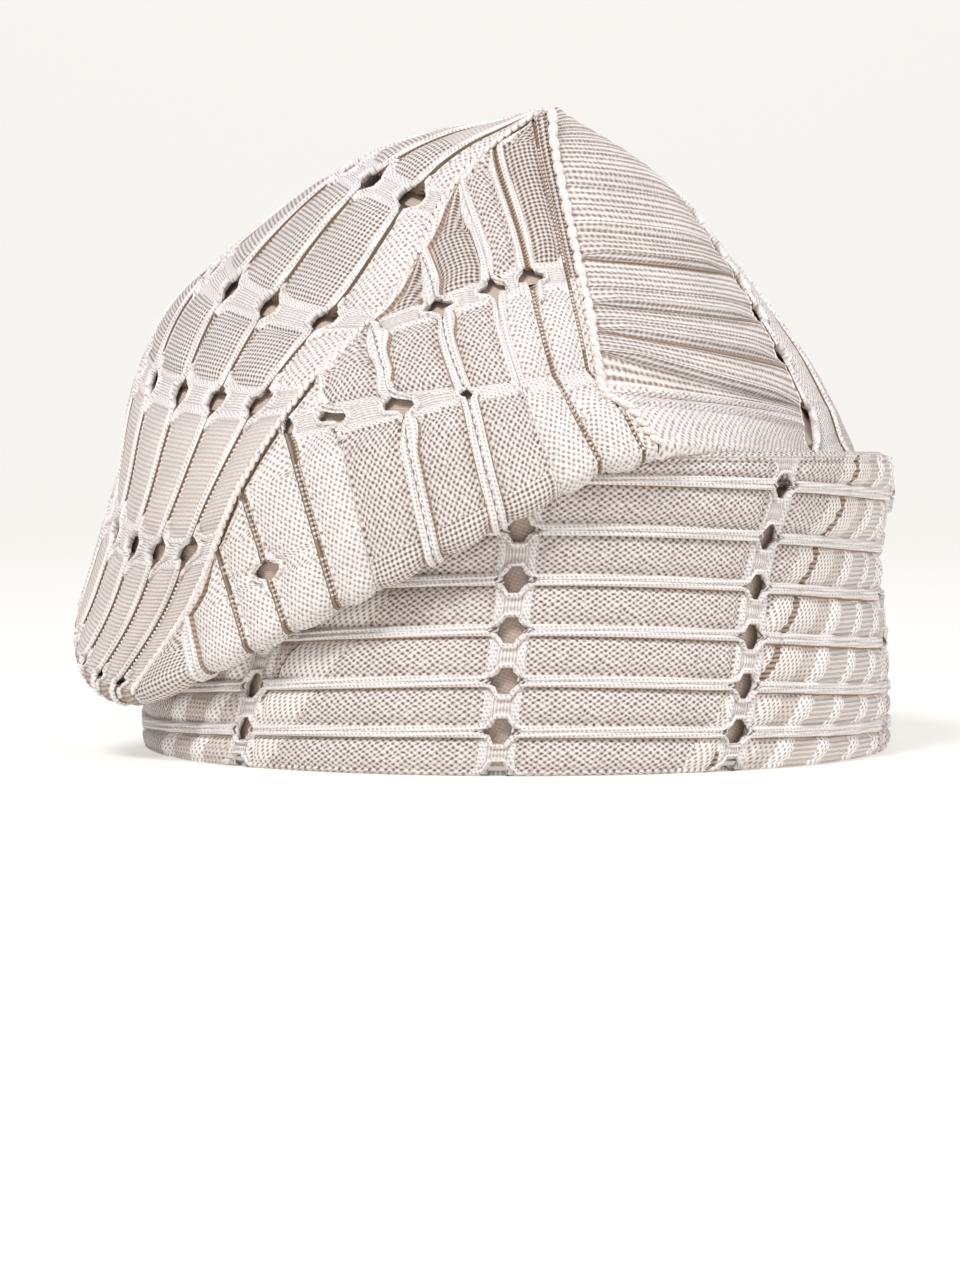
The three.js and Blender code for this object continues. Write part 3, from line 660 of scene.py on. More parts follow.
def makeBand():
    start = band["columns"][-1] + band["backReach"]
    step = (bandRound + band["columns"][0] - band["backReach"] - start) / (band["backColumns"] - 1)
    columns = band["columns"] + [start + step * i for i in range(band["backColumns"])]
    columns = [(c + bandRound / 2) % bandRound - bandRound / 2 for c in columns]
    t, rows = -bandRound / 2, []
    while t < bandRound / 2 - 0.5:
        rows.append(t)
        near = min(min(abs(t - c), bandRound - abs(t - c)) for c in columns) < band["holeReach"]
        striped = any(low < t < high for low, high in band["striped"])
        steps = band["rowSteps"]["hole" if near else "stripe" if striped else "cell"]
        t += steps[0] if band["seen"][0] < t < band["seen"][1] else steps[1]
    rows = np.array(rows)
    edges = [band["height"] + band["turnIn"], band["height"] - band["topEdge"]]
    edges += [ribHeight(k, rows) for k in range(band["ribs"] - 1, -1, -1)] + list(band["footEdges"])
    edges = [np.ones(len(rows)) * edge for edge in edges]
    kinds = ["edge", "soft"] + ["braid"] * band["ribs"] + ["soft", "edge"]
    holes = {j: [(c, 1.0) for c in columns] for j in range(2, 3 + band["ribs"])}
    starts = np.array([q for q, kind in stripes["rows"]])
    ends = np.append(starts[1:], stripes["stop"])
    rises = np.array([stripeKinds[kind][3] for q, kind in stripes["rows"]])

    # braids stand up and grooves sink; at the rim and over the top the cloth lies flatter
    def relief(z, t, owner, high):
        q = stripeAt(t, z)
        at = np.clip(np.searchsorted(starts, q, side="right") - 1, 0, len(starts) - 1)
        rise = rises[at]
        x = np.clip((q - starts[at]) / (ends[at] - starts[at]), 0, 1)
        cells = (owner > 0) & (owner < len(kinds) - 2) & ((rise > 0) | (z > stripes["grooveFoot"]))
        high = high + np.where(cells, rise * np.sin(math.pi * x) ** band["braidRound"], 0)
        flat, reach = band["flatTop"]
        high = high * smooth(z, *band["flatRim"])
        return high * (1 - flat * smooth(z, band["height"], band["height"] + reach))

    def restripe(z, t, cloth):
        q = stripeAt(t, z)
        striped = np.any([(q > low) & (q < high) for low, high in stripes["shown"]], axis=0)
        return np.where(striped & (z < band["height"]), clothIndex["stripedCottonEnds"], cloth)

    return stripCloth("bandCloth", bandSurface, rows, edges, kinds, holes, basketFill, -1.0, bandRound,
        relief, {0: 3, 8: 2}, 0.0, restripe, band["hole"])


bandCloth = makeBand()
print("band cloth:", len(bandCloth.data.polygons), "faces")

# crown: from lip to ridge, one row of x, y, z for each sewn edge and panel middle
crownEdges = {
    "frontLeft": [(-82.2, -58, 15.5), (-68.7, -74, 34.7), (-58, -88, 58.6), (-42.7, -87, 81.4),
        (-25.8, -75, 99.6), (-12.3, -58, 125), (6, -50.5, 140.5)],
    "front": [(-31, -103, 41), (-25, -105.5, 53), (-16.2, -105, 70.7), (-12.4, -95, 88.6),
        (-6.7, -77, 107.2), (-2.4, -60, 126.6), (6, -50.5, 140.5)],
    "frontRight": [(28, -103, 71.6), (21.7, -102, 75.5), (16.7, -97, 79.3), (14.4, -88, 92.5),
        (10.9, -72, 109.9), (7.3, -57, 130), (6, -50.5, 140.5)],
    "right": [(72.6, -15, 68.5), (70, -15, 72.5), (67.3, -14, 77.5), (60.6, -13, 90), (47.6, -12, 108),
        (32, -10, 127), (6.2, -2, 140)],
    "backRight": [(64, 52, 69.5), (63.5, 52, 74), (61, 52, 80), (54, 51, 92), (40, 50, 107), (21, 48, 120),
        (-2, 47, 126)],
    "back": [(-2, 95, 70.5), (-2, 94, 76), (-2, 91, 84), (-2, 84, 97), (-2, 73, 110), (-2, 62, 119),
        (-2, 47, 126)],
    "backLeft": [(-80, 42, 74), (-79, 42, 79), (-77, 42, 86), (-70, 43, 97), (-54, 43, 109), (-28, 46, 119),
        (-2, 47, 126)],
    "left": [(-97, -20, 29.6), (-93, -23, 40), (-87.1, -27, 58.5), (-82.6, -24, 81.4), (-70.5, -16, 103.5),
        (-35, -14, 128.7), (6.2, -2, 140)],
}
crownPanels = {"left": ("backLeft", "left", "frontLeft"), "front": ("frontLeft", "front", "frontRight"),
    "right": ("frontRight", "right", "backRight"), "back": ("backRight", "back", "backLeft")}
topLevel = 6.0
ridgeGap = 0.02  # levels that the side panels stop short of the ridge
peak = dict(start=139.5, drop=0.65)


# a smooth curve through the rows of one edge
def rail(name, level):
    p = np.array(crownEdges[name], float)
    level = np.clip(level, 0, topLevel)
    i = np.minimum(np.floor(level).astype(int), len(p) - 2)
    w = (level - i)[..., None]
    ext = np.vstack([2 * p[0] - p[1], p, 2 * p[-1] - p[-2]])
    p0, p1, p2, p3 = ext[i], ext[i + 1], ext[i + 2], ext[i + 3]
    t0, t1 = 0.5 * (p2 - p0), 0.5 * (p3 - p1)
    return p1 + t0 * w + (-3 * p1 + 3 * p2 - 2 * t0 - t1) * w ** 2 + (2 * p1 - 2 * p2 + t0 + t1) * w ** 3


def panelSurface(name, across, level):
    across, level = np.broadcast_arrays(np.asarray(across, float), np.asarray(level, float))
    a, m, b = [rail(edge, level) for edge in crownPanels[name]]
    s = across[..., None]
    place = a * ((2 * s - 1) * (s - 1)) + m * (4 * s * (1 - s)) + b * (s * (2 * s - 1))
    # the peak's left side lies lower than the rolled right side
    lower = {"left": across, "front": 1 - across}.get(name)
    if lower is not None:
        place[..., 2] -= peak["drop"] * np.maximum(place[..., 2] - peak["start"], 0) * lower
    return place


# below the lip the cloth folds back up inside the overhang, or goes straight down inside the band
foot = dict(skirtFoot=60.0, skirtOffset=-5.9, lip=2.0, returnOffset=1.5, returnTop=66.0, hem=4.4,
    overTop=68.5, crossShare=0.8, crossReach=1.8, hang=(2.0, 5.0), sink=3.2, sinkRight=(0.3, 0.5),
    sinkFront=(0.9, 1.0), sinkOver=(0.0, 1.0), sinkUnder=(0.3, 0.7))
footKeys = np.array([0, 0.05, 0.1, 0.15, 0.2, 0.25, 0.3, 0.7, 0.8, 0.9, 1.0])
footRows = -np.array([1.0, 0.9, 0.8, 0.7, 0.55, 0.42, 0.3, 0.25, 0.2, 0.15, 0.1, 0.05])


def crownSurface(name, across, level):
    across, level = np.broadcast_arrays(np.clip(np.asarray(across, float), 0, 1), np.asarray(level, float))
    out = panelSurface(name, across, np.maximum(level, 0))
    # near the crease the right side's foot and the flap's corner sink on to the band's top
    sink = np.zeros_like(level)
    if name == "right":
        sink = foot["sink"] * (1 - smooth(across, *foot["sinkRight"])) * (1 - smooth(level,
            *foot["sinkOver"]))
    if name == "front":
        sink = foot["sink"] * smooth(across, *foot["sinkFront"]) * (1 - smooth(level, *foot["sinkOver"]))
    out[..., 2] -= sink
    below = level < 0
    if not below.any():
        return out
    lip = panelSurface(name, across, np.zeros_like(level))
    reach = np.hypot(lip[..., 0], lip[..., 1])
    outline = reach / np.hypot(lip[..., 0] / band["halfWidth"], lip[..., 1] / band["halfDepth"])
    offset, z = reach - outline, lip[..., 2]
    r, start, over, flat = foot["lip"], foot["skirtOffset"], foot["overTop"], np.ones_like(z)
    # offsets from the band's outline and heights down the foot, for each of the three ways that it can go
    inside = [(flat * start, flat * band["height"]), (flat * start, flat * foot["skirtFoot"])]
    folded = [(offset - r + r * math.cos(k / 6 * math.pi), z - r * math.sin(k / 6 * math.pi))
        for k in range(7)]
    folded.append((flat * foot["returnOffset"], np.maximum(z, foot["returnTop"])))
    folded.append((flat * -foot["hem"] / 2, flat * over))
    share = foot["crossShare"]
    crossing = [(mixed(offset, start, share * k), mixed(z, over, share * k)) for k in footKeys[:9]]
    straight = [(mixed(offset, start, k), mixed(z, foot["skirtFoot"], k)) for k in footKeys]
    hang = smooth(offset, *foot["hang"])
    crosses = smooth(offset, start, start + foot["crossReach"])
    ways = zip(folded + inside, crossing + inside, straight)
    keys = np.array([[mixed(mixed(s[i], c[i], crosses), f[i], hang) for i in (0, 1)] for f, c, s in ways])
    t = np.clip(-level, 0, 1)
    j = np.clip(np.searchsorted(footKeys, t, side="right") - 1, 0, len(footKeys) - 2)
    w = (t - footKeys[j]) / (footKeys[j + 1] - footKeys[j])
    low, high = [np.take_along_axis(keys, np.stack([k, k])[None], 0)[0] for k in (j, j + 1)]
    off, high = mixed(low, high, w)
    scale = (outline + off) / np.maximum(reach, 1e-6)
    down = np.stack([lip[..., 0] * scale, lip[..., 1] * scale, high], -1)
    down[..., 2] -= sink * (1 - smooth(-level, *foot["sinkUnder"]))
    out[below] = down[below]
    return out


# front panel: ribs fan out from the crease; shares of the lip's width, with the kind of rib at each. A row
# of holes has its first and last level and their sizes, and the letters give each strip's cloth between the
# levels of changeAt
frontPanel = dict(shares=[0, 0.022, 0.096, 0.168, 0.269, 0.385, 0.49, 0.564, 0.663, 0.745, 0.853, 1.0],
    kinds=["edge", "seamLadder", "narrow", "rising", "double", "double", "rising", "ladder", "ladder",
    "ladder", "double", "edge"], top=5.86, rowOne=(2.27, 2.55, [0.12, 0.12, 0.4, 1.0, 1.0, -0.9]),
    rowTwo=(3.66, 3.52, [1.0, 1.0, 1.0]), lowHole=(8, 1.06, -1.25), fineAt=[1.06, 2.41, 3.59],
    straightTo=2.4, tipShare=0.97, straight=(0.02, 0.97), changeAt=(2.4, 3.6),
    letters=["ttt bbb tttt b", "ttt bbb ttttt", "ggb gggggggg"], lipRows=0.34,
    rowSteps=(0.034, 0.06, 0.34))
clothLetters = {"t": "bleachedCottonTwill", "b": "undyedCottonBasket", "g": "unbleachedGridWeave"}


# the holes of one row as (rib, level, size)
def holeRow(spec):
    first, last, sizes = spec
    return [(i + 2, first + (last - first) * i / (len(sizes) - 1), size) for i, size in enumerate(sizes)]


def frontShareLine(share, rows):
    width = 1 - np.maximum(rows, 0) / topLevel
    line = np.clip(1 - share / width, 0, 1)
    # from the lip to the first row of holes the rib runs straight
    s = np.linspace(0, 1, 301)
    end = min(frontPanel["straightTo"], topLevel * (1 - share) * frontPanel["tipShare"])
    ends = [np.clip(1 - share, 0, 1), np.clip(1 - share / (1 - end / topLevel), 0, 1)]
    if frontPanel["straight"][0] < share < frontPanel["straight"][1]:
        p, q = panelSurface("front", ends[0], 0.0), panelSurface("front", ends[1], end)
        away = np.array([q[2] - p[2], -(q[0] - p[0])])
        for i in np.nonzero((rows > 0) & (rows < end))[0]:
            points = panelSurface("front", s, np.full(len(s), rows[i]))
            d = (points[:, 0] - p[0]) * away[0] + (points[:, 2] - p[2]) * away[1]
            line[i] = np.interp(0, d, s) if d[-1] > d[0] else np.interp(0, -d, s)
    return line


def makeFront():
    spec = frontPanel
    rows = np.concatenate([footRows, marchRows(0, spec["top"], spec["fineAt"], *spec["rowSteps"])])
    edges = [frontShareLine(s, rows) for s in spec["shares"]]
    holes = {}
    for rib, level, size in holeRow(spec["rowOne"]) + holeRow(spec["rowTwo"]) + [spec["lowHole"]]:
        holes.setdefault(rib, []).append((level, size))

    def fills(j, level):
        letters = spec["letters"][sum(level >= change for change in spec["changeAt"])]
        cloth = clothLetters[letters.replace(" ", "")[j]]
        return "cottonGridWeave" if level < spec["lipRows"] and cloth == "undyedCottonBasket" else cloth

    return stripCloth("crownFrontCloth", partial(crownSurface, "front"), rows, edges, spec["kinds"], holes,
        fills, inner={0: 2})


# left panel: its rows of holes (first level, last, number) climb to the back, and the cloth's rows too
leftPanel = dict(shares=[0, 0.071, 0.171, 0.281, 0.41, 0.543, 0.667, 0.781, 0.895, 1.0],
    holeRows=[(1.54, 1.8, 7), (2.83, 3.3, 7), (3.7, 4.45, 7), (4.75, 5.05, 6)], lipHole=(0.1, 0.55),
    lipHoles=6, holeSize=1.25, hemTo=0.02, gridRows=(2.83, 5.2), gridStrips=5, spread=0.45,
    spreadOver=(2.5, 5.0), swell=2.2, swellAt=5.0, swellFade=(5.3, 5.9), rowSteps=(0.032, 0.062, 0.24))


def leftLevel(across, row):
    spec = leftPanel
    rib = np.interp(1 - across, spec["shares"], np.arange(len(spec["shares"])) - 1.0)
    stops = [0.0] + [first for first, last, n in spec["holeRows"]] + [topLevel]
    climb = [0.0] + [(last - first) / (n - 1) for first, last, n in spec["holeRows"]] + [0.0]
    return np.where(row > 0, row + np.interp(row, stops, climb) * np.clip(rib, 0, 7), row)


def leftSurface(across, row):
    return crownSurface("left", across, leftLevel(np.clip(across, 0, 1), row))


# higher up the strips keep their width and run off over the ridge
def leftShareLine(share, rows):
    first = leftPanel["shares"][1]
    grown = 1 + leftPanel["spread"] * smooth(rows, *leftPanel["spreadOver"])
    return np.clip(1 - np.where(share > first, first + (share - first) * grown, share), 0, 1)


def makeLeft():
    spec = leftPanel
    stops = [first for first, last, n in spec["holeRows"]] + [spec["lipHole"][0]]
    rows = np.concatenate([footRows, marchRows(0, topLevel - ridgeGap, stops, *spec["rowSteps"])])
    edges = [leftShareLine(s, rows) for s in spec["shares"]]
    kinds = ["edge"] + ["notched"] * (len(edges) - 2) + ["edge"]
    holes = {}
    for first, last, number in spec["holeRows"]:
        for i in range(number):
            holes.setdefault(i + 1, []).append((first, spec["holeSize"]))
    for i in range(spec["lipHoles"]):
        holes[i + 1].append(spec["lipHole"])

    def fills(j, row):
        # the turned-under hem is painted in shade
        if row < spec["hemTo"]:
            return "unbleachedHemCotton"
        low, high = spec["gridRows"]
        if j == 0:
            return "bleachedCottonTwill" if row > low else "ribbedCotton"
        return "cottonGridWeave" if low < row < high and j < spec["gridStrips"] else "ribbedCotton"

    # the cloth swells below the ridge
    def relief(a, row, owner, high):
        swell = spec["swell"] * hump(row, spec["swellAt"], 1.0) * (1 - smooth(row, *spec["swellFade"]))
        return high + swell * 4 * a * (1 - a)

    return stripCloth("crownLeftCloth", leftSurface, rows, edges, kinds, holes, fills, relief=relief)


# right panel: its rows follow its pleats, which slant more towards the foot; a pleat is its level and depth
rightPanel = dict(pleats=[(4.78, 0.35), (4.22, 0.45), (3.89, 1.1), (3.31, 1.2), (2.96, 1.2), (2.68, 1.2),
    (1.9, 0.6), (1.2, 0.6)], pleatFrom=(0.0, 0.06), pleatTo=(0.28, 0.4), brow=(1.5, 3.4), tuck=(0.8, 1.3),
    shadedFrom=0.9, slantAt=[-1, 0, 2.68, 2.96, 3.31, 6], slant=[0, 0, 2.16, 0.58, 0, 0], slantTo=0.42,
    rows=256, columnLevel=[0.0, 0.45, 1.7, 2.7, 3.3, 3.9, 6.0], column=[0.34, 0.35, 0.39, 0.41, 0.42, 0.47,
    0.5], holes=[0.75 + 0.38 * i for i in range(11)], hole=(2.9, 1.9, 3.4), stripWide=0.13,
    finePitch=1.65, fineHigh=0.3, plainTo=2.1, fineFrom=(1.9, 2.2), fineRound=0.7,
    creaseRows=(0.0235, 0.047))


def rightSurface(across, row):
    slope = np.interp(row, rightPanel["slantAt"], rightPanel["slant"])
    level = np.where(row > 0, row - slope * np.minimum(np.clip(across, 0, 1), rightPanel["slantTo"]), row)
    return crownSurface("right", across, level)


def makeRight():
    spec = rightPanel
    rows = np.concatenate([footRows, np.linspace(0, topLevel - ridgeGap, spec["rows"])])
    line = np.interp(rows, spec["columnLevel"], spec["column"])
    edges = [np.zeros(len(rows)), line, line + spec["stripWide"], np.ones(len(rows))]
    holes = {1: [(level, -1.0) for level in spec["holes"]]}
    run = runLength(panelSurface("right", 0.0, np.maximum(rows, 0)))

    # fine ribs, and at each pleat a brow above a sharp tuck
    def relief(a, v, owner, high):
        length = np.interp(v, rows, run)
        main = (owner == 0) & (v > 0)
        fine = spec["fineHigh"] * smooth(v, *spec["fineFrom"])
        ribbed = np.abs(np.cos(math.pi * length / spec["finePitch"])) ** spec["fineRound"]
        high = high + np.where(main, fine * ribbed, 0)
        for level, deep in spec["pleats"]:
            d = length - np.interp(level, rows, run)
            brow, tuck = spec["brow"], spec["tuck"]
            fold = np.where(d > 0, brow[0] * np.exp(-d / brow[1]), -tuck[0] * np.exp(d / tuck[1]))
            shown = smooth(a, *spec["pleatFrom"])
            high = high + np.where(main, deep * fold * shown * (1 - smooth(a, *spec["pleatTo"])), 0)
        return high

    def fills(j, row):
        if j > 0:
            return "bleachedCottonTwill" if j == 1 else "undyedCottonBasket"
        # painted shade: the row just under a deep pleat's tuck takes the tan shaded threads
        low, high = spec["creaseRows"]
        if any(low <= level - row < high for level, deep in spec["pleats"] if deep > spec["shadedFrom"]):
            return "shadedSlitThreads"
        return "knittedCottonRib" if row > spec["plainTo"] else "bleachedCottonTwill"

    return stripCloth("crownRightCloth", rightSurface, rows, edges, ["edge", "slotted", "notched", "edge"],
        holes, fills, relief=relief, inner={0: 34, 2: 10}, hole=spec["hole"])


# back panel: even strips that narrow to the ridge's end
backPanel = dict(strips=10, holeLevels=[1.6, 3.2], top=5.92, inner=4, rowSteps=(0.05, 0.11, 0.3))


def makeBack():
    spec = backPanel
    rows = np.concatenate([footRows, marchRows(0, spec["top"], spec["holeLevels"], *spec["rowSteps"])])
    edges = [np.full(len(rows), 1 - i / spec["strips"]) for i in range(spec["strips"] + 1)]
    kinds = ["edge"] + ["braid"] * (spec["strips"] - 1) + ["edge"]
    holes = {j: [(level, 1.0) for level in spec["holeLevels"]] for j in range(2, spec["strips"] - 1)}
    return stripCloth("crownBackCloth", partial(crownSurface, "back"), rows, edges, kinds, holes,
        basketFill, inner={j: spec["inner"] for j in range(spec["strips"])})


crownPieces = {"crown_front": makeFront(), "crown_left": makeLeft(), "crown_right": makeRight(),
    "crown_back": makeBack()}
for key, piece in crownPieces.items():
    print(key, len(piece.data.polygons), "faces")

# linings: smooth cloth close behind, seen through the holes
lining = dict(bandInset=2.0, bandFoot=2.0, bandTop=56.0, bandTurns=144, bandRows=20, crownInset=0.9,
    crownFoot=0.1, crownTop=0.05, crownRows=60, panelColumns=24, step=1e-3, wall=0.8, cellSize=2.0)


def liningPiece(name, points):
    rows, columns = points.shape[:2]
    r = np.arange(rows - 1)
    c = np.arange(columns)
    quads = gridQuads(r, r + 1, c, (c + 1) % columns, columns).reshape(-1, 4)
    cells = np.meshgrid(c * lining["cellSize"], np.arange(rows) * lining["cellSize"])
    uv = np.stack(cells, -1).reshape(-1, 2)
    slots = np.full(len(quads), clothIndex["sateenLining"])
    return finishCloth(name, points.reshape(-1, 3), quads, slots, {"threads": uv[quads]}, lining["wall"])


def makeLinings():
    turn = np.linspace(-math.pi, math.pi, lining["bandTurns"] + 1)[:-1]
    z = np.linspace(lining["bandFoot"], lining["bandTop"], lining["bandRows"])[:, None]
    ring = ringPoint(turn, -waistAt(z) - lining["bandInset"], z)
    grids = []
    level = np.linspace(lining["crownFoot"], topLevel - lining["crownTop"], lining["crownRows"])[:, None]
    for name in ("left", "front", "right", "back"):
        a, v = np.broadcast_arrays(np.linspace(0, 1, lining["panelColumns"] + 1)[None, :-1], level)
        out = outwardOf(partial(panelSurface, name), a, v, lining["step"], lining["step"])
        grids.append(panelSurface(name, a, v) - out * lining["crownInset"])
    return liningPiece("bandLiningCloth", ring), liningPiece("crownLiningCloth", np.concatenate(grids, 1))


bandLining, crownLining = makeLinings()
print("linings made")

# a stitch's sizes in millimetres, slant in radians, whether each second one leans back, unevenness,
# rounding
ropeSizes = ["Pitch", "Length", "Width", "Height"]
ropeParts = ropeSizes + ["Slant", "Alternate", "Uneven", "Rounding"]
ropes = {"seam": (2.3, 3.7, 1.45, 1.5, 0.5, 0.0, 0.08, 2), "fine": (2.0, 3.1, 1.2, 1.3, 0.5, 0.0, 0.08, 2),
    "beads": (3.5, 4.4, 2.2, 2.1, 0.12, 1.0, 0.12, 2), "bars": (1.05, 0.8, 0.85, 0.6, 0.0, 0.0, 0.12, 1),
    "teeth": (1.1, 0.6, 1.1, 0.6, 0.5, 0.0, 0.12, 1)}
stitchSeed = 7
pathStep = 4e-3  # small step for the outward direction along a path


# one tree lays stitches along paths: each is a small bead turned to the path and standing off the cloth
def makeStitchTree():
    tree = bpy.data.node_groups.new("stitchesAlongPath", "GeometryNodeTree")
    kinds = ["Float"] * 7 + ["Int", "Material"]
    tree.interface.new_socket("Geometry", in_out="INPUT", socket_type="NodeSocketGeometry")
    for label, kind in zip(ropeParts + ["Yarn"], kinds):
        tree.interface.new_socket(label, in_out="INPUT", socket_type="NodeSocket" + kind)
    tree.interface.new_socket("Geometry", in_out="OUTPUT", socket_type="NodeSocketGeometry")
    add = partial(addNode, tree)
    given = add("NodeGroupInput", None, None).outputs
    curve = add("GeometryNodeMeshToCurve", {"Mesh": given["Geometry"]})
    even = add("GeometryNodeResampleCurve", {"Curve": curve, "Length": given["Pitch"]}, mode="LENGTH")
    tangent = add("GeometryNodeInputTangent")
    out = add("GeometryNodeInputNamedAttribute", {"Name": "out"}, data_type="FLOAT_VECTOR")
    facing = add("FunctionNodeAxesToRotation", {"Primary Axis": tangent, "Secondary Axis": out},
        primary_axis="X", secondary_axis="Z")
    index = add("GeometryNodeInputIndex")
    odd = add("Math", {0: index, 1: 2.0}, operation="MODULO")
    flip = add("Math", {0: odd, 1: given["Alternate"]}, operation="MULTIPLY")
    sign = add("Math", {0: flip, 1: -2.0, 2: 1.0}, operation="MULTIPLY_ADD")
    slant = add("Math", {0: sign, 1: given["Slant"]}, operation="MULTIPLY")
    euler = add("CombineXYZ", {2: slant})
    turn = add("FunctionNodeEulerToRotation", {0: euler})
    turned = add("FunctionNodeRotateRotation", {"Rotation": facing, "Rotate By": turn},
        rotation_space="LOCAL")
    halves = {}
    for i, label in enumerate(ropeSizes[1:]):
        halves[i] = add("Math", {0: given[label], 1: 0.5}, operation="MULTIPLY")
    size = add("CombineXYZ", halves)
    low = add("Math", {0: 1.0, 1: given["Uneven"]}, operation="SUBTRACT")
    high = add("Math", {0: 1.0, 1: given["Uneven"]}, operation="ADD")
    chance = add("FunctionNodeRandomValue", {2: low, 3: high, "Seed": stitchSeed}, 1, data_type="FLOAT")
    scale = add("VectorMath", {0: size, "Scale": chance}, operation="SCALE")
    bead = add("GeometryNodeMeshIcoSphere", {"Radius": 1.0, "Subdivisions": given["Rounding"]})
    placed = add("GeometryNodeInstanceOnPoints", {"Points": even, "Instance": bead, "Rotation": turned,
        "Scale": scale})
    real = add("GeometryNodeRealizeInstances", {0: placed})
    soft = add("GeometryNodeSetShadeSmooth", {0: real})
    dyed = add("GeometryNodeSetMaterial", {0: soft, "Material": given["Yarn"]})
    add("NodeGroupOutput", {0: dyed}, None)
    return tree


# speckle of the plies, pitch and rise in metres
plySpeckle = dict(pitch=0.000625, rise=0.0002, bump=0.5, dark=0.35, light=0.62, roughness=0.9, sheen=0.12)


# cotton yarn: soft, fuzzy, with painted shade between the plies, darker where the speckle's bump is low;
# speckle is drawn at 0.6 mm so that it shows
def yarnMaterial(name, light, dark):
    material, tree, shader = startMaterial(name, plySpeckle["roughness"], plySpeckle["sheen"])
    place = addNode(tree, "TexCoord", None, "Object")
    ply = addNode(tree, "TexNoise", {"Vector": place, "Scale": 1 / plySpeckle["pitch"], "Detail": 2.0})
    tone = addNode(tree, "MapRange", {"Value": ply, "From Min": plySpeckle["dark"],
        "From Max": plySpeckle["light"]})
    # the dark tone is painted shade between the plies
    shade = addNode(tree, "Mix", {0: tone, 6: linearColour(dark), 7: linearColour(light)}, 2,
        data_type="RGBA")
    finishMaterial(tree, shader, shade, ply, plySpeckle["bump"], plySpeckle["rise"])
    return material


bleachedYarn = yarnMaterial("bleachedCottonYarn", "f4eeea", "dccfc6")
undyedYarn = yarnMaterial("undyedCottonYarn", "e6dcd4", "b8a79a")
stitchTree = makeStitchTree()


# points and outward directions of a line on a surface, lifted off it
def panelPath(surface, across, level, lift):
    across, level = np.broadcast_arrays(np.asarray(across, float), np.asarray(level, float))
    out = outwardOf(surface, across, level, pathStep, pathStep)
    return surface(across, level) + out * lift, out


# a line where two panels meet, facing between them
def seamPath(one, other, level, lift):
    lines = [panelPath(partial(crownSurface, name), across, level, 0.0) for name, across in (one, other)]
    out = unit(lines[0][1] + lines[1][1])
    return lines[0][0] + out * lift, out


def sewAlong(name, paths, kind, yarn=bleachedYarn):
    points, outs, links = [], [], []
    for p, out in paths:
        start = len(points)
        points += toMetres(p).tolist()
        outs += out.tolist()
        links += [(start + i, start + i + 1) for i in range(len(p) - 1)]
    mesh = bpy.data.meshes.new(name)
    mesh.from_pydata(points, links, [])
    facing = mesh.attributes.new("out", "FLOAT_VECTOR", "POINT")
    facing.data.foreach_set("vector", np.array(outs, np.float32).ravel())
    obj = addObject(name, mesh)
    made = obj.modifiers.new("stitches", "NODES")
    made.node_group = stitchTree
    values = dict(zip(ropeParts, ropes[kind]))
    values.update({part: values[part] * metres for part in ropeSizes})
    values["Yarn"] = yarn
    for item in stitchTree.interface.items_tree:
        if item.in_out == "INPUT" and item.name in values:
            made[item.identifier] = values[item.name]
    return plain(obj)


# the runs of a line that are clear of holes and long enough to sew
def clearRuns(clear):
    runs = np.split(np.arange(len(clear)), np.nonzero(np.diff(clear.astype(int)))[0] + 1)
    return [run for run in runs if clear[run[0]] and len(run) > 4]


# levels are from and to, lifts how far a rope stands off the cloth, and ladders the ribs of the front panel
# with the level that each one's bars reach
sewing = dict(seamLevels=(0.03, 5.85), ropeLevels=(0.05, 3.1), beadLevels=(3.1, 5.8), ridge=(0.02, 0.98),
    seamPoints=140, creasePoints=80, ridgePoints=90, barPoints=160, toothPoints=260, ridgeDrop=0.01,
    ladders=((1, 5.2), (2, 3.5), (7, 2.4), (8, 1.85), (9, 1.3)), ladderFrom=0.02, barShift=0.42,
    barLift=0.72, twoBarsFrom=0.2, barClear=0.16, toothLevels=(0.2, 5.6), toothShift=0.35, toothLift=0.9,
    toothClear=0.2, seamClear=0.012, lifts=dict(front=1.4, crease=1.5, beads=1.9, back=1.6, ridge=1.0))


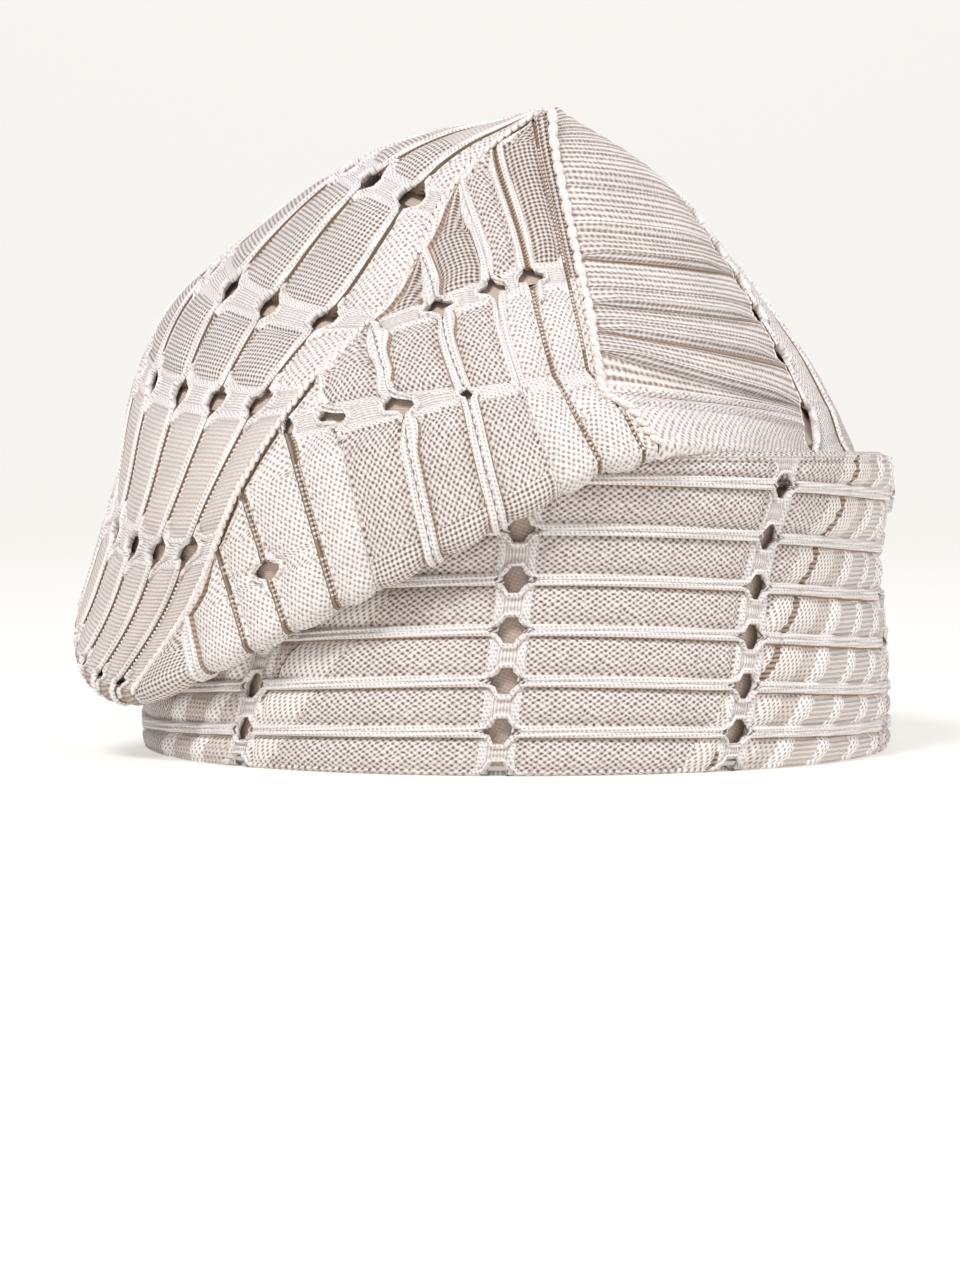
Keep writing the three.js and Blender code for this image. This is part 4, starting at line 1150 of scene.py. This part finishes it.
def makeStitches():
    spec, lifts, step = sewing, sewing["lifts"], strip["step"][0]
    seam = np.linspace(*spec["seamLevels"], spec["seamPoints"])
    lower, upper = [np.linspace(*spec[part], spec["creasePoints"]) for part in ("ropeLevels", "beadLevels")]
    ridge = np.linspace(*spec["ridge"], spec["ridgePoints"])

    def seamRope(name, kind, level, lift, *seams):
        return sewAlong(name, [seamPath(one, other, level, lift) for one, other in seams], kind)

    frontSeam = seamRope("frontSeamRope", "fine", seam, lifts["front"], (("front", 0.0), ("left", 1.0)))
    fold = (("front", 1.0), ("right", 0.0))
    crease = [seamRope("creaseRope", "seam", lower, lifts["crease"], fold),
        seamRope("creaseBeads", "beads", upper, lifts["beads"], fold)]
    backEnds = (("right", 1.0), ("back", 0.0)), (("back", 1.0), ("left", 0.0))
    backSeams = seamRope("backSeamRopes", "seam", seam, lifts["back"], *backEnds)
    ridgeEnds = (("left", ridge), ("right", 1 - ridge))
    ridgeRope = seamRope("ridgeRope", "seam", topLevel - spec["ridgeDrop"], lifts["ridge"], ridgeEnds)
    bars = []
    rows = holeRow(frontPanel["rowOne"]) + holeRow(frontPanel["rowTwo"])[:1] + [frontPanel["lowHole"]]
    for rib, top in spec["ladders"]:
        share = frontPanel["shares"][rib]
        level = np.linspace(spec["ladderFrom"], top, spec["barPoints"])
        line = frontShareLine(share, level)
        wide = stretch(partial(panelSurface, "front"), line, level, da=step)
        clear = np.min([np.abs(level - row) for rib, row, size in rows], axis=0) > spec["barClear"]
        for run in clearRuns(clear & (line > spec["seamClear"])):
            for shift in (-spec["barShift"], spec["barShift"]) if share > spec["twoBarsFrom"] else (0.0,):
                place = (line + shift / wide)[run]
                bars.append(panelPath(partial(crownSurface, "front"), place, level[run], spec["barLift"]))
    ladderBars = sewAlong("ladderBars", bars, "bars", undyedYarn)
    teeth = []
    level = np.linspace(*spec["toothLevels"], spec["toothPoints"])
    rows = [first for first, last, n in leftPanel["holeRows"]]
    clear = np.min([np.abs(level - row) for row in rows], axis=0) > spec["toothClear"]
    for share in leftPanel["shares"][1:-1]:
        line = leftShareLine(share, level)
        wide = stretch(partial(panelSurface, "left"), line, level, da=step)
        for run in clearRuns(clear & (line > spec["seamClear"])):
            place = line[run] + spec["toothShift"] / wide[run]
            teeth.append(panelPath(leftSurface, place, level[run], spec["toothLift"]))
    slitTeeth = sewAlong("slitTeeth", teeth, "teeth")
    return {"crown_front": [frontSeam, ladderBars] + crease, "crown_left": [slitTeeth, ridgeRope],
        "crown_back": [backSeams]}


stitches = makeStitches()
for node, sewn in stitches.items():
    print(node, "stitching:", [(piece.name, len(piece.data.polygons)) for piece in sewn])

# which node each piece stands for, its slot, how it hangs and the flat cut of its cloth in metres
wornCloths = [
    (bandCloth, "band", "cloth", "folded", (0.592, 0.078), None, []),
    (bandLining, "band_lining", "lining", "hung", (0.566, 0.056), None, ["band"]),
    (crownPieces["crown_front"], "crown_front", "cloth", "draped", (0.145, 0.165), 0.0117, ["band"]),
    (crownPieces["crown_left"], "crown_left", "cloth", "draped", (0.15, 0.23), 0.0237, ["band"]),
    (crownPieces["crown_right"], "crown_right", "cloth", "gathered", (0.17, 0.112), 0.0149, ["band"]),
    (crownPieces["crown_back"], "crown_back", "cloth", "draped", (0.18, 0.087), 0.0108, ["band"]),
    (crownLining, "crown_lining", "lining", "hung", (0.6, 0.11), 0.043, ["crown_left", "crown_right"]),
]
for piece, node, slot, held, flat, area, restsOn in wornCloths:
    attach(piece, "root")
    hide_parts(node)
    sewn = stitches.get(node, [])
    for trim in sewn:
        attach(trim, "root")
    mesh = piece.data
    triangles = sum(len(p.vertices) - 2 for p in mesh.polygons)
    half = sum(p.area for p in mesh.polygons) / 2
    print(piece.name, "half surface", round(half, 5), "m2,", triangles, "triangles")

# studio, in metres: pale paper curving up behind and glowing a little, a soft key from the upper left, a
# fill and a wall light
studio = dict(paper="c9c7c3", glowTone="fefcf8", glow=0.48, floorHalf=3.0, wallAt=2.2, wallHigh=3.0,
    bend=0.8, bends=12, roughness=0.95)


def makeStudio(spec):
    profile = [(-spec["floorHalf"], 0.0)]
    for i in range(spec["bends"] + 1):
        b = i / spec["bends"] * math.pi / 2
        profile.append((spec["wallAt"] + spec["bend"] * math.sin(b), spec["bend"] * (1 - math.cos(b))))
    profile.append((spec["wallAt"] + spec["bend"], spec["wallHigh"]))
    points = [(x, y, z) for y, z in profile for x in (-spec["floorHalf"], spec["floorHalf"])]
    faces = [(2 * i, 2 * i + 1, 2 * i + 3, 2 * i + 2) for i in range(len(profile) - 1)]
    mesh = bpy.data.meshes.new("paperSweep")
    mesh.from_pydata(points, [], faces)
    for face in mesh.polygons:
        face.use_smooth = True
    paper, tree, shader = startMaterial("paleStudioPaper", spec["roughness"], 0.0)
    glow = {"Emission Color": linearColour(spec["glowTone"]), "Emission Strength": spec["glow"]}
    setInputs(tree, shader, {"Base Color": linearColour(spec["paper"]), **glow})
    mesh.materials.append(paper)
    addObject("paperSweep", mesh)


lamps = dict(key=dict(place=(-0.45, -1.05, 1.2), aim=(0, 0, 0.07), size=0.5, watts=19.0),
    fill=dict(place=(1.4, -0.5, 0.7), aim=(0, 0, 0.07), size=1.0, watts=8.0),
    wall=dict(place=(0, 1.0, 1.9), aim=(0, 2.9, 0.2), size=1.6, watts=9.0))
lampTone = "fefdff"  # a shade cooler than the cloth, as daylight tubes are
air = dict(tone="f4f5f8", strength=0.44)


def makeLamps():
    for name, spec in lamps.items():
        data = bpy.data.lights.new(name, "AREA")
        data.shape = "DISK"
        data.size = spec["size"]
        data.energy = spec["watts"]
        data.color = linearColour(lampTone)[:3]
        obj = addObject(name, data)
        obj.location = spec["place"]
        x, y, z = np.array(spec["aim"]) - np.array(spec["place"])
        obj.rotation_euler = (math.atan2(math.hypot(x, y), -z), 0, math.atan2(y, x) - math.pi / 2)
    world = bpy.data.worlds.new("studioAir")
    world.use_nodes = True
    sky = world.node_tree
    setInputs(sky, sky.nodes["Background"], {"Color": linearColour(air["tone"]),
        "Strength": air["strength"]})
    bpy.context.scene.world = world
    bpy.context.scene.view_settings.view_transform = "Standard"


makeStudio(studio)
makeLamps()
